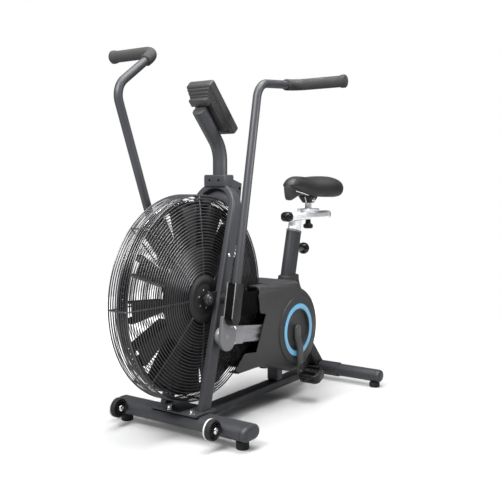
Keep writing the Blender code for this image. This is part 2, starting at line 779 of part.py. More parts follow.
def console_point(x, along, out):
    y = CONSOLE_Y - along * sin(CONSOLE_TILT) + out * cos(CONSOLE_TILT)
    z = CONSOLE_Z + along * cos(CONSOLE_TILT) + out * sin(CONSOLE_TILT)
    return Vector((x, y, z))


def console_box(name, half_x, low, high, inner, outer, material, edge=0.0):
    item = box(name, (-half_x, inner, low), (half_x, outer, high), material, edge)
    item.location = console_point(0.0, (low + high) / 2, (inner + outer) / 2)
    item.rotation_euler = (CONSOLE_TILT, 0.0, 0.0)
    return item


def console():
    half = CONSOLE_LENGTH / 2
    back = -CONSOLE_THICK
    body = console_box("console_body", CONSOLE_WIDTH / 2, -half, half, back, 0.0, "black_plastic", 0.005)
    block_half = half - CONSOLE_WIDTH / 3
    housing = console_box("console_housing", CONSOLE_BLOCK_HALF * 0.9, CONSOLE_MAST_END + 0.006, block_half + 0.006,
                          back - CONSOLE_HOUSING, back + 0.004, None, 0.004)
    block = console_box("console_block", CONSOLE_BLOCK_HALF, -block_half, block_half,
                        back - CONSOLE_MAST_DROP, back + 0.004, None)
    join(body, housing, block)
    screen_high = half - SCREEN_MARGIN
    screen_low = screen_high - SCREEN_LENGTH
    screen_half = CONSOLE_WIDTH / 2 - SCREEN_MARGIN
    room = console_box("screen_room", screen_half + GAP, screen_low - GAP, screen_high + GAP,
                       -SCREEN_THICK - GAP, SCREEN_THICK, None)
    cut(body, room)
    console_box("console_screen", screen_half, screen_low, screen_high, -SCREEN_THICK, 0.0, "glass")
    for index in range(BUTTON_COUNT):
        x = BUTTON_PITCH * (index - (BUTTON_COUNT - 1) / 2)
        seat = BUTTON_TRAVEL + BUTTON_PROUD
        well = rod("button_well", BUTTON_RADIUS + GAP, console_point(x, BUTTON_ALONG, -seat),
                   console_point(x, BUTTON_ALONG, seat), None)
        cut(body, well)
        low = -seat + BUTTON_TRAVEL + GAP
        rod(f"console_button_{index + 1}", BUTTON_RADIUS, console_point(x, BUTTON_ALONG, low),
            console_point(x, BUTTON_ALONG, BUTTON_PROUD), "rubber", 12)
    axis_out = back - CONSOLE_MAST_DROP - MAST_RADIUS - GAP
    tip = console_point(0.0, CONSOLE_MAST_END, axis_out)
    slope = (tip - console_point(0.0, CONSOLE_MAST_END - 1.0, axis_out))
    corner = tip + slope * ((MAST_Y - tip.y) / slope.y)
    path = rounded([Vector((0.0, MAST_Y, COLLAR_HIGH + GAP)), corner, tip], [MAST_BEND], 8)
    tube("console_mast", path, MAST_RADIUS, "charcoal_paint", 4)


# Seat

def seat_parts():
    top = seat_length(SEAT_TUBE_TOP_Z)
    half_x = SEAT_TUBE_HALF_X - SEAT_TUBE_WALL - GAP
    half_y = SEAT_TUBE_HALF_Y - SEAT_TUBE_WALL - GAP
    post = seat_prism("seat_post", half_x, half_y, top - POST_DEPTH, seat_length(SLIDER_Z) + 0.02, "bright_aluminium")
    above = box("post_trim", (-0.2, 0.0, SLIDER_BOTTOM - GAP), (0.2, 0.8, 1.0), None)
    cut(post, above)
    slider = box("slider_rail", (-SLIDER_WIDTH / 2, SLIDER_FRONT, SLIDER_BOTTOM),
                 (SLIDER_WIDTH / 2, SLIDER_BACK, SLIDER_TOP), "bright_aluminium", 0.009)
    slot_half = BOLT_RADIUS + RUNNING
    slot = box("slider_slot", (-slot_half, STEM_Y - SADDLE_FORWARD - slot_half, SLIDER_BOTTOM - 0.1),
               (slot_half, STEM_Y + SADDLE_REARWARD + slot_half, SLIDER_TOP + 0.1), None)
    cut(slider, slot)
    hang_on(joint_empty("seat_post_slide", seat_axis(top)), post, slider)

    foot = SLIDER_TOP + GAP
    stem = box("saddle_stem", (-CARRIAGE_HALF_X, STEM_Y - CARRIAGE_HALF_Y, foot),
               (CARRIAGE_HALF_X, STEM_Y + CARRIAGE_HALF_Y, foot + CARRIAGE_THICK), "bright_aluminium", 0.003)
    column = rod("stem_column", STEM_RADIUS, (0.0, STEM_Y, foot + CARRIAGE_THICK / 2),
                 (0.0, STEM_Y, CLAMP_LOW + 0.004), None)
    clamp = box("stem_clamp", (-CLAMP_HALF, STEM_Y - CLAMP_HALF, CLAMP_LOW),
                (CLAMP_HALF, STEM_Y + CLAMP_HALF, CLAMP_HIGH), None, 0.004)
    join(stem, column, clamp)
    hang_on(joint_empty("saddle_slide", (0.0, STEM_Y, SLIDER_TOP)), stem, saddle())

    high = SLIDER_TOP - GAP
    under = SLIDER_BOTTOM - GAP
    base = under - SLIDER_KNOB_HEIGHT
    profile = [(0.0, high), (BOLT_RADIUS, high), (BOLT_RADIUS, under), (SLIDER_KNOB_RADIUS * 0.55, under),
               (SLIDER_KNOB_RADIUS * 0.6, under - SLIDER_KNOB_HEIGHT * 0.45),
               (SLIDER_KNOB_RADIUS, under - SLIDER_KNOB_HEIGHT * 0.6), (SLIDER_KNOB_RADIUS, base + 0.004),
               (SLIDER_KNOB_RADIUS * 0.7, base), (0.0, base)]
    turned("slider_knob", profile, (0.0, STEM_Y, 0.0), (0, 0, 1), "black_plastic", 14)

    tip = SEAT_TUBE_HALF_Y - SEAT_TUBE_WALL + GAP
    face = SEAT_TUBE_HALF_Y + GAP
    near = face + PIN_NECK
    far = near + PIN_KNOB_LENGTH
    neck = PIN_KNOB_RADIUS * 0.66
    middle = (near + far) / 2
    half = PIN_KNOB_LENGTH / 2
    pin_profile = [(0.0, far), (PIN_KNOB_RADIUS * 0.5, middle + half * 0.87), (PIN_KNOB_RADIUS * 0.87, middle + half * 0.5),
                   (PIN_KNOB_RADIUS, middle), (PIN_KNOB_RADIUS * 0.87, middle - half * 0.5), (neck, middle - half * 0.72),
                   (neck, face), (PIN_RADIUS, face), (PIN_RADIUS, tip), (0.0, tip)]
    outward = seat_axis(PIN_ALONG, 1.0) - seat_axis(PIN_ALONG)
    turned("pin_knob", pin_profile, seat_axis(PIN_ALONG), outward, "black_plastic", 14)


def saddle_stations():
    length = SADDLE_TAIL - SADDLE_NOSE
    stations = []
    for share, width, fall, side, hem, dip in (
            (0.000, 0.15, 0.40, 0.30, 0.86, 0.90),
            (0.060, 0.29, 0.10, 0.40, 1.18, 1.08),
            (0.200, 0.35, 0.01, 0.42, 1.20, 1.06),
            (0.360, 0.44, 0.05, 0.44, 1.00, 1.00),
            (0.520, 0.66, 0.08, 0.46, 0.98, 0.99),
            (0.680, 0.91, 0.03, 0.48, 1.05, 0.98),
            (0.820, 1.00, 0.00, 0.50, 1.12, 0.96),
            (0.940, 0.93, 0.05, 0.50, 1.06, 0.92),
            (1.000, 0.68, 0.29, 0.40, 0.66, 0.64)):
        stations.append((SADDLE_NOSE + share * length, width * SADDLE_HALF, fall, side, hem, dip))
    return stations


def saddle():
    depth = SADDLE_TOP_Z - CLAMP_HIGH
    rings = []
    for y, half, fall, side, hem, dip in saddle_stations():
        falls = ((0.0, fall), (0.50, fall + 0.04), (0.84, fall + 0.17), (1.0, fall + side), (0.88, hem), (0.50, dip),
                 (0.0, dip))
        half_ring = [(half * out, SADDLE_TOP_Z - depth * down) for out, down in falls]
        outline = half_ring + [(-x, z) for x, z in reversed(half_ring[1:-1])]
        rings.append([(x, y, z) for x, z in outline])
    item = loft("saddle", rings, "saddle_skin")
    soft = item.modifiers.new("soft", "SUBSURF")
    soft.levels = 1
    soft.render_levels = 1
    room = box("saddle_trim", (-CLAMP_HALF - 0.002, STEM_Y - CLAMP_HALF - 0.002, CLAMP_LOW - 0.05),
               (CLAMP_HALF + 0.002, STEM_Y + CLAMP_HALF + 0.002, CLAMP_HIGH + GAP), None)
    cut(item, room)
    return shade_round(item, 80.0)


# Fan and its guard

def guard_depth(radius, dome):
    share = (radius - GUARD_HUB) / (GUARD_RADIUS - GUARD_WIRE - GUARD_HUB)
    return dome + (GUARD_HALF - GUARD_WIRE - dome) * share ** 1.6


def wire_ring(name, radius, x, material):
    def build(work):
        on_rim = Matrix.Translation((radius, 0, 0)) @ Matrix.Rotation(pi / 2, 4, "X")
        circle = bmesh.ops.create_circle(work, segments=4, radius=GUARD_WIRE, matrix=on_rim)
        edges = list({edge for vert in circle["verts"] for edge in vert.link_edges})
        bmesh.ops.spin(work, geom=circle["verts"] + edges, cent=(0, 0, 0), axis=(0, 0, 1), angle=2 * pi,
                       steps=GUARD_SEGMENTS, use_merge=True)
        bmesh.ops.remove_doubles(work, verts=work.verts, dist=0.00001)
        bmesh.ops.recalc_face_normals(work, faces=work.faces)
        bmesh.ops.transform(work, matrix=Matrix.Rotation(pi / 2, 4, "Y"), verts=work.verts)

    item = mesh_object(name, build, material)
    item.location = (x, FAN_Y, FAN_Z)
    return item


def guard_half(side):
    dome = GUARD_DOME_X if side > 0 else GUARD_FLAT_X
    rim = GUARD_RADIUS - GUARD_WIRE
    name = f"fan_guard_{side_name(side)}"
    guard = wire_ring(name, rim, side * (GUARD_HALF - GUARD_WIRE), "black_wire")
    join(guard, wire_ring("guard_mating_ring", rim, side * (GUARD_WIRE + GAP), None))
    step = (rim - GUARD_HUB) / (GUARD_RINGS + 1)
    for index in range(1, GUARD_RINGS + 1):
        radius = GUARD_HUB + index * step
        join(guard, wire_ring("guard_ring", radius, side * guard_depth(radius, dome), None))
    for index in range(GUARD_SPOKES):
        angle = GUARD_SPOKE_TURN + 2 * pi * index / GUARD_SPOKES
        middle = (GUARD_HUB + rim) / 2
        under = GUARD_WIRE * 0.37
        stops = [(GUARD_HUB * 0.93, dome - under), (middle, guard_depth(middle, dome) - under),
                 (rim - under, GUARD_HALF - GUARD_WIRE - under), (rim - under, GUARD_WIRE * 0.65 + GAP)]
        path = [(side * x, FAN_Y + r * cos(angle), FAN_Z + r * sin(angle)) for r, x in stops]
        join(guard, tube("guard_spoke", path, GUARD_WIRE * 0.83, None, 0))
    inner = AXLE_RADIUS + GAP if side > 0 else ROTOR_SLEEVE + RUNNING
    face = HUB_FACE_X if side > 0 else GUARD_FLAT_X + GUARD_WIRE / 2
    back = dome - GUARD_WIRE * 1.5
    chamfer = (face - back) * 0.3
    profile = [(inner, face), (GUARD_HUB - chamfer * 2, face), (GUARD_HUB, face - chamfer), (GUARD_HUB, back),
               (inner, back)]
    hub = turned("guard_hub", profile, (0.0, FAN_Y, FAN_Z), (side, 0, 0), None, GUARD_SEGMENTS, closed=True)
    join(guard, hub)


def blade_sector(angle, inner, outer, inset):
    outline = []
    for radius, side in ((inner, -1), (outer, -1), (outer, 1), (inner, 1)):
        turn = angle + side * (BLADE_SPREAD / 2 - inset / radius)
        outline.append((FAN_Y + radius * cos(turn), FAN_Z + radius * sin(turn)))
    return outline


def fan_blade(angle):
    blade = plate("fan_blade", [blade_sector(angle, BLADE_ROOT, BLADE_TIP, 0.0)], BLADE_LOW, BLADE_HIGH, None)
    hollow = plate("blade_hollow", [blade_sector(angle, BLADE_ROOT / 2, BLADE_TIP * 1.1, BLADE_WALL)],
                   BLADE_LOW * 1.5, BLADE_HIGH - BLADE_WALL, None)
    cut(blade, hollow)
    return blade


def fan():
    guard_half(1)
    guard_half(-1)
    head_low = AXLE_TAB_HIGH + GAP
    head_high = head_low + AXLE_RADIUS
    profile = [(0.0, head_high), (AXLE_NUT, head_high), (AXLE_NUT, head_low), (AXLE_RADIUS, head_low),
               (AXLE_RADIUS, -head_low), (AXLE_NUT, -head_low), (AXLE_NUT, -head_high), (0.0, -head_high)]
    turned("fan_axle", profile, (0.0, FAN_Y, FAN_Z), (1, 0, 0), "steel", 14)

    bore = AXLE_RADIUS + GAP
    sleeve_end = BELT_LOW_X - PULLEY_LIP
    disc_back = ROTOR_DISC_HIGH - ROTOR_DISC_THICK
    rotor_profile = [(bore, ROTOR_HIGH), (ROTOR_HUB, ROTOR_HIGH), (ROTOR_HUB, ROTOR_DISC_HIGH),
                     (ROTOR_DISC, ROTOR_DISC_HIGH), (ROTOR_DISC, disc_back), (ROTOR_HUB, disc_back),
                     (ROTOR_HUB, ROTOR_LOW), (ROTOR_SLEEVE, ROTOR_LOW), (ROTOR_SLEEVE, sleeve_end), (bore, sleeve_end)]
    rotor = turned("fan_rotor", rotor_profile, (0.0, FAN_Y, FAN_Z), (1, 0, 0), "black_plastic", 39, closed=True)
    for index in range(BLADE_COUNT):
        blade = fan_blade(BLADE_PHASE + 2 * pi * index / BLADE_COUNT)
        join(rotor, blade)
    ring = [(TIP_RING_OUTER, TIP_RING_HALF), (TIP_RING_OUTER, -TIP_RING_HALF), (TIP_RING_INNER, -TIP_RING_HALF),
            (TIP_RING_INNER, TIP_RING_HALF)]
    join(rotor, turned("tip_ring", ring, (0.0, FAN_Y, FAN_Z), (1, 0, 0), None, 52, closed=True))

    pulley("fan_pulley", FAN_PULLEY_RADIUS, ROTOR_SLEEVE + GAP, (FAN_Y, FAN_Z), "steel", 24)
    empty = joint_empty("fan_spin", (0.0, FAN_Y, FAN_Z))
    hang_on(empty, rotor, bpy.data.objects["fan_pulley"])


def pulley(name, radius, bore, centre, material, steps):
    half = BELT_WIDTH / 2 + PULLEY_LIP
    profile = [(bore, half), (radius, half), (radius, -half), (bore, -half)]
    return turned(name, profile, (BELT_CENTRE_X, *centre), (1, 0, 0), material, steps, closed=True)


def belt_loop(offset, steps=28):
    return two_circles((CRANK_Y, CRANK_Z), DRIVE_PULLEY_RADIUS + offset, (FAN_Y, FAN_Z),
                       FAN_PULLEY_RADIUS + offset, steps)


def belt():
    plate("drive_belt", [belt_loop(GAP + BELT_THICK), belt_loop(GAP)], BELT_LOW_X, BELT_HIGH_X, "rubber")
    margin = BELT_THICK + BELT_GUARD_MARGIN
    outer_x = BELT_LOW_X - PULLEY_LIP - RUNNING
    inner_x = -GUARD_FLAT_X - GUARD_WIRE - RUNNING
    guard = plate("belt_guard", [belt_loop(margin)], outer_x - BELT_GUARD_WALL, inner_x, "black_plastic")
    room = plate("belt_room", [belt_loop(margin - BELT_GUARD_WALL)], outer_x, inner_x + 0.02, None)
    back = box("belt_guard_trim", (-0.2, BELT_GUARD_BACK, 0.0), (0.0, 0.8, 0.8), None)
    hole = rod("belt_guard_hole", AXLE_RADIUS + RUNNING, (-0.2, FAN_Y, FAN_Z), (0.0, FAN_Y, FAN_Z), None)
    cut(guard, room, back, hole)


# Crank, pedals and rods

def crank_arm(name, side):
    steps = [(-CRANK_BOSS * cos(turn), CRANK_BOSS * sin(turn)) for turn in (0.3, 0.65, 1.0, 1.3, pi / 2)]
    slope = (CRANK_END - CRANK_BOSS) / CRANK_LENGTH
    for reach in (CRANK_BEND_START, (CRANK_BEND_START + CRANK_BEND_END) / 2, CRANK_BEND_END):
        steps.append((reach, CRANK_BOSS + slope * reach))
    for turn in (0.0, 0.35, 0.7, 1.0, 1.27):
        steps.append((CRANK_LENGTH + CRANK_END * sin(turn), CRANK_END * cos(turn)))
    rings = []
    for reach, half in steps:
        share = (reach - CRANK_BEND_START) / (CRANK_BEND_END - CRANK_BEND_START)
        inner = BOSS_INNER_X + (CRANK_INNER_X - BOSS_INNER_X) * min(max(share, 0.0), 1.0)
        outer = inner + CRANK_THICK
        z = CRANK_Z - side * reach
        rings.append([(side * x, CRANK_Y + y, z) for x, y in ((inner, -half), (outer, -half), (outer, half),
                                                             (inner, half))])
    return loft(name, rings, "charcoal_paint")


def crank_and_pedals():
    end = BOSS_FACE_X - RUNNING
    axle = rod("crank_axle", AXLE_SHAFT, (-end, CRANK_Y, CRANK_Z), (end, CRANK_Y, CRANK_Z), "steel")
    inner_x = ECCENTRIC_OUTER_X - ECCENTRIC_THICK
    for side in (1, -1):
        y = CRANK_Y - side * ECCENTRIC_OFFSET
        join(axle, rod("eccentric", ECCENTRIC_RADIUS, (side * inner_x, y, CRANK_Z),
                       (side * ECCENTRIC_OUTER_X, y, CRANK_Z), None))
    wheel = pulley("drive_pulley", DRIVE_PULLEY_RADIUS, AXLE_SHAFT + GAP, (CRANK_Y, CRANK_Z), "cast_aluminium", 24)
    crank = joint_empty("crank_spin", (0.0, CRANK_Y, CRANK_Z))
    hang_on(crank, axle, wheel)
    for side in (1, -1):
        end_z = CRANK_Z - side * CRANK_LENGTH
        arm = crank_arm(f"crank_arm_{side_name(side)}", side)
        pedal_x = CRANK_FACE_X + PEDAL_STANDOFF
        spindle = rod("pedal_spindle", SPINDLE_RADIUS, (side * (CRANK_FACE_X - 0.004), CRANK_Y, end_z),
                      (side * (pedal_x + PEDAL_WIDTH * 0.8), CRANK_Y, end_z), None, 16)
        bore = rod("crank_bore", AXLE_SHAFT + GAP, (side * 0.05, CRANK_Y, CRANK_Z), (side * 0.2, CRANK_Y, CRANK_Z),
                   None, 24)
        join(arm, spindle)
        cut(arm, bore)
        low, high = both_ends(side, pedal_x, pedal_x + PEDAL_WIDTH)
        half = PEDAL_LENGTH / 2
        pedal = box(f"pedal_{side_name(side)}", (low, -half, -PEDAL_THICK / 2), (high, half, PEDAL_THICK / 2),
                    "black_plastic", 0.010)
        pedal.location = ((low + high) / 2, CRANK_Y, end_z)
        pedal.rotation_euler = (PEDAL_TILT, 0.0, 0.0)
        room = rod("pedal_bore", SPINDLE_RADIUS + GAP, (side * 0.05, CRANK_Y, end_z),
                   (side * (pedal_x + PEDAL_WIDTH * 0.8 + RUNNING), CRANK_Y, end_z), None, 16)
        cut(pedal, room)
        hang_on(crank, arm)
        hang_on(joint_empty(f"{side_name(side)}_pedal_spin", (0.0, CRANK_Y, end_z)), pedal)


def lever_lean(side):
    return LEVER_NEUTRAL + side * SWING_HALF


def rocker_pin(side):
    lean = lever_lean(side)
    return (PIVOT_Y - ROCKER_LENGTH * sin(lean), PIVOT_Z - ROCKER_LENGTH * cos(lean))


def connecting_rods():
    for side in (1, -1):
        pin = Vector(rocker_pin(side))
        centre = Vector((CRANK_Y - side * ECCENTRIC_OFFSET, CRANK_Z))
        along = (centre - pin).normalized()
        square = Vector((-along.y, along.x)) * ROD_HALF_HEIGHT
        front = pin + along * ROD_FRONT_LENGTH
        start = pin + along * (ROD_EYE + LEG_DEPTH / 2)
        bar_end = centre - along * (STRAP_BORE + STRAP_WALL / 2)
        low, high = both_ends(side, STRAP_INNER_X, STRAP_OUTER_X)
        bar_outline = [start - square, bar_end - square, bar_end + square, start + square]
        rod_item = plate(f"connecting_rod_{side_name(side)}", [bar_outline], low, high, "cast_aluminium")
        strap = plate("rod_strap", [arc(*centre, STRAP_BORE + STRAP_WALL, 0.0, 2 * pi * 19 / 20, 19),
                                    arc(*centre, STRAP_BORE, 0.0, 2 * pi * 19 / 20, 19)], low, high, None)
        front_low, front_high = both_ends(side, ROD_FRONT_INNER_X, ROD_FRONT_OUTER_X)
        front_plate = plate("rod_front", [two_circles(pin, ROD_EYE, front, ROD_HALF_HEIGHT)], front_low, front_high,
                            None)
        block_outline = [start - square * 0.96, front - square * 0.96, front + square * 0.96, start + square * 0.96]
        block_low, block_high = both_ends(side, STRAP_INNER_X + GAP, ROD_FRONT_OUTER_X - GAP)
        block = plate("rod_block", [block_outline], block_low, block_high, None)
        hole = rod("rod_pin_hole", ROD_PIN + GAP, (side * 0.02, *pin), (side * 0.2, *pin), None)
        join(rod_item, strap, block, front_plate)
        cut(rod_item, hole)
        hang_on(joint_empty(f"{side_name(side)}_rod_hinge", (0.0, *pin)), rod_item)


# Levers

def levers():
    for side in (1, -1):
        name = side_name(side)
        empty = joint_empty(f"{name}_lever_swing", (0.0, PIVOT_Y, PIVOT_Z), -lever_lean(side))
        x = side * LEVER_X
        reach = (HANDLE_REACH * sin(HANDLE_TURN), HANDLE_REACH * cos(HANDLE_TURN))
        foot = Vector((x, 0.0, LEVER_FOOT))
        corner = Vector((x, 0.0, LEVER_LENGTH))
        elbow = corner + Vector((0.0, *reach))
        tip = elbow + Vector((side * (GRIP_TIP_X - LEVER_X - GRIP_CAP), 0.0, 0.0))
        tube_path = rounded([foot, corner, elbow, tip], [HANDLE_BEND, GRIP_BEND])
        lever = tube(f"lever_{name}", tube_path, LEVER_RADIUS, "charcoal_paint", 3)

        half = CHANNEL_DEPTH / 2
        low, high = both_ends(side, LEVER_X - CHANNEL_HALF, LEVER_X + CHANNEL_HALF)
        outline = [(half, CHANNEL_HIGH), (-half, CHANNEL_HIGH)]
        outline += arc(0.0, CHANNEL_LOW + half, half, pi, 2 * pi, 10)
        channel = plate("lever_channel", [outline], low, high, None)
        flange = CHANNEL_HALF - CHANNEL_WALL
        inner_low, inner_high = both_ends(side, LEVER_X - flange, LEVER_X + flange)
        hollow = box("channel_hollow", (inner_low, -CHANNEL_DEPTH, CHANNEL_LOW * 2),
                     (inner_high, half - CHANNEL_WALL, CHANNEL_HIGH * 2), None)
        shaft = rod("channel_hole", LEVER_SHAFT + GAP, (side * 0.05, 0, 0), (side * 0.3, 0, 0), None)
        cut(channel, hollow)
        join(lever, channel)
        cut(lever, shaft)

        arm_low, arm_high = both_ends(side, ROCKER_INNER_X, ROCKER_OUTER_X)
        arm_outline = two_circles((0.0, -ROCKER_LENGTH), ROCKER_END, (0.0, 0.0), ROCKER_TOP)
        rocker = plate(f"rocker_arm_{name}", [arm_outline], arm_low, arm_high, "cast_aluminium")
        pin = rod("rocker_pin", ROD_PIN, (side * (ROD_FRONT_INNER_X + GAP), 0.0, -ROCKER_LENGTH),
                  (side * (ROCKER_OUTER_X - GAP), 0.0, -ROCKER_LENGTH), None)
        head = rod("rocker_pin_head", ROD_PIN_HEAD, (side * (ROCKER_OUTER_X - 0.002), 0.0, -ROCKER_LENGTH),
                   (side * (ROCKER_OUTER_X + ROD_PIN / 2), 0.0, -ROCKER_LENGTH), None)
        join(rocker, pin, head)
        cut(rocker, shaft)

        grip_start = elbow - Vector((0.0, *reach)).normalized() * GRIP_START
        grip_end = Vector((side * (GRIP_TIP_X - GRIP_CAP / 2), elbow.y, elbow.z))
        grip = tube(f"grip_{name}", rounded([grip_start, elbow, grip_end], [GRIP_BEND]), GRIP_RADIUS, "foam", 3)
        cap = rod("grip_cap", GRIP_CAP_RADIUS, (side * (GRIP_TIP_X - GRIP_CAP), elbow.y, elbow.z),
                  (side * GRIP_TIP_X, elbow.y, elbow.z), None)
        core_start = grip_start - Vector((0.0, *reach)).normalized() * GRIP_START * 0.2
        core_end = tip + Vector((side * GAP, 0.0, 0.0))
        core = tube("grip_core", rounded([core_start, elbow, core_end], [GRIP_BEND]), LEVER_RADIUS + GAP, None, 3)
        join(grip, cap)
        cut(grip, core)

        pieces = [lever, rocker, grip, channel, hollow, shaft, pin, head, cap, core]
        for item in pieces:
            item.parent = empty

        shoulder_low = LEG_OUTER + GAP
        shoulder_high = ROCKER_INNER_X - GAP
        head_low = LEVER_X + CHANNEL_HALF + GAP
        profile = [(0.0, head_low + SHAFT_HEAD_THICK), (SHAFT_HEAD, head_low + SHAFT_HEAD_THICK),
                   (SHAFT_HEAD, head_low), (LEVER_SHAFT, head_low), (LEVER_SHAFT, shoulder_high),
                   (SHAFT_SHOULDER, shoulder_high), (SHAFT_SHOULDER, shoulder_low), (LEVER_SHAFT, shoulder_low),
                   (LEVER_SHAFT, LEG_INNER), (0.0, LEG_INNER)]
        turned(f"lever_shaft_{name}", profile, (0.0, PIVOT_Y, PIVOT_Z), (side, 0, 0), "steel", 12)


# Drive cover

def cover_outline(wall, drawn=0.0, front_y=None):
    inset = wall + drawn
    under = wall + drawn * COVER_BELLY_DRAW
    radius = COVER_RADIUS - inset
    start_y, start_z = COVER_TOP_FRONT
    chin_y, chin_z = COVER_CHIN
    outline = [(start_y, start_z - inset), (COVER_TOP_BACK[0], COVER_TOP_BACK[1] - inset)]
    outline += arc(CRANK_Y, CRANK_Z, radius, COVER_ARC_START, COVER_ARC_END, 14)
    outline += [(COVER_BELLY[0], COVER_BELLY[1] + under), (chin_y, chin_z + under)]
    if front_y is None:
        front = [COVER_TIP, COVER_LIP_LOW, COVER_NOTCH_LOW, COVER_NOTCH_HIGH, COVER_FLAP_LOW, COVER_FLAP_HIGH]
    else:
        front = [(front_y, chin_z + under), (front_y, start_z - inset)]
    return outline + front


def cover_solid(name, side, low, high, inset, edge, material, front_y=None):
    levels = [(low, 0.0)]
    for step in range(COVER_EDGE_STEPS + 1):
        turn = pi / 2 * step / COVER_EDGE_STEPS
        levels.append((high - edge + edge * sin(turn), edge * (1 - cos(turn))))
    rings = [[(side * x, y, z) for y, z in cover_outline(inset, drawn, front_y)] for x, drawn in levels]
    return shade_round(loft(name, rings, material))


def drive_covers():
    fan_room = rod("fan_room", GUARD_RADIUS + COVER_TO_GUARD, (-0.050, FAN_Y, FAN_Z), (0.050, FAN_Y, FAN_Z), None, 64)
    tube_room = seat_prism("cover_tube_room", SEAT_TUBE_HALF_X + RUNNING, SEAT_TUBE_HALF_Y + RUNNING, -0.05, 0.6, None)
    stay_room = stay_solid("cover_stay_room", RUNNING, None)
    half = SUPPORT_DEPTH / 2 + RUNNING
    post_room = box("cover_post_room", (-BEAM_HALF - RUNNING, CRANK_Y - half, 0.0),
                    (BEAM_HALF + RUNNING, CRANK_Y + half, CRANK_Z), None)
    for side in (1, -1):
        name = side_name(side)
        cover = cover_solid(f"drive_cover_{name}", side, GAP / 2, COVER_FACE_X, 0.0, COVER_EDGE, "grey_plastic")
        room = cover_solid("cover_room", side, -0.02, COVER_FACE_X - COVER_WALL, COVER_WALL,
                           COVER_EDGE - COVER_WALL, None, COVER_TIP[0] - 0.05)
        cap_room = rod("cap_room", CAP_DISH + CAP_WALL + RUNNING, (side * 0.05, CRANK_Y, CRANK_Z),
                       (side * 0.2, CRANK_Y, CRANK_Z), None, 36)
        cut(cover, room, cap_room, fan_room, tube_room, stay_room, post_room)

        back = COVER_FACE_X + GAP
        wall = CAP_DISH + CAP_WALL
        bore = AXLE_SHAFT + RUNNING
        profile = [(CAP_RADIUS, back), (wall, back), (wall, DISH_BACK_X), (bore, DISH_BACK_X), (bore, DISH_FACE_X),
                   (CAP_DISH, DISH_FACE_X), (CAP_DISH, CAP_FACE_X), (CAP_RADIUS - CAP_THICK, CAP_FACE_X)]
        turned(f"crank_cap_{name}", profile, (0.0, CRANK_Y, CRANK_Z), (side, 0, 0), "grey_plastic", 24,
               closed=True)
        face = CAP_FACE_X + GAP
        ring = [(RING_OUTER, face + RING_THICK), (RING_OUTER, face), (RING_INNER, face), (RING_INNER, face + RING_THICK)]
        turned(f"trim_ring_{name}", ring, (0.0, CRANK_Y, CRANK_Z), (side, 0, 0), "blue_plastic", 24, closed=True)


def seat_boot():
    rings = []
    for half, front, back, z in ((BOOT_TOP_HALF, BOOT_TOP_FRONT, BOOT_TOP_BACK, BOOT_TOP_Z),
                                 (BOOT_FOOT_HALF, BOOT_FOOT_FRONT, BOOT_FOOT_BACK, BOOT_TOP_Z - BOOT_DEPTH)):
        middle = seat_axis_y(z) + (back - front) / 2
        rings.append([(x, middle + y, z) for y, x in obround((front + back) / 2, half)])
    boot = shade_round(loft("seat_boot", rings, "black_plastic"))
    cover_room = plate("boot_cover_room", [cover_outline(-GAP)], -COVER_FACE_X, COVER_FACE_X, None)
    tube_room = seat_prism("boot_tube_room", SEAT_TUBE_HALF_X + GAP, SEAT_TUBE_HALF_Y + GAP, 0.0, 0.6, None)
    cut(boot, cover_room, tube_room)


clear_scene()
PARTS = new_collection("air_bike")
CUTTERS = new_collection("cutters")
make_materials()
floor_bars()
feet()
transport_wheels()
base_frame()
fork()
seat_frame()
side_rails()
crown()
console()
seat_parts()
fan()
belt()
crank_and_pedals()
connecting_rods()
levers()
drive_covers()
seat_boot()
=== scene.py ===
# The looks of an air bike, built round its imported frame. Metres, +Z up, fan at -Y.

import json
from math import asin, atan2, cos, pi, radians, sin, sqrt, tan

import bmesh
import bpy
from mathutils import Matrix, Vector

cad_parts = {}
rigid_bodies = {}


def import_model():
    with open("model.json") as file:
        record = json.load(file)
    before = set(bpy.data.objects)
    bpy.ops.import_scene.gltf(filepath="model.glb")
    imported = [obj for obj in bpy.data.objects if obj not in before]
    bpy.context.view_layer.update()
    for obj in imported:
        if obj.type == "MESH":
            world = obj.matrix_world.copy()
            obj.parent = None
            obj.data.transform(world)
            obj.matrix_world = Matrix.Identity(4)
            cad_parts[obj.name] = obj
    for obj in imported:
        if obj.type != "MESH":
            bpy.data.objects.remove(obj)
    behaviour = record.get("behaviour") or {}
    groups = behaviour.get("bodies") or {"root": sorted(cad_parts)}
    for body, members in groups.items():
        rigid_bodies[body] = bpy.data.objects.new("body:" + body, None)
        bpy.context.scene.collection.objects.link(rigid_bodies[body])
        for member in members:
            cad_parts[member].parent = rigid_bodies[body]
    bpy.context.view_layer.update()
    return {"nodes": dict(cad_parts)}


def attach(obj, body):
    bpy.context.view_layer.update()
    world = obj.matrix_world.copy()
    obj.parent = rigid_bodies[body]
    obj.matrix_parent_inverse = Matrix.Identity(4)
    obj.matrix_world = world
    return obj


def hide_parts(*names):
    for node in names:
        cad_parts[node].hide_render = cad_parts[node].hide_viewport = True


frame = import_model()
sides = {"left": 1, "right": -1}
print("frame loaded:", len(frame["nodes"]), "nodes")

# Camera, floor and lights

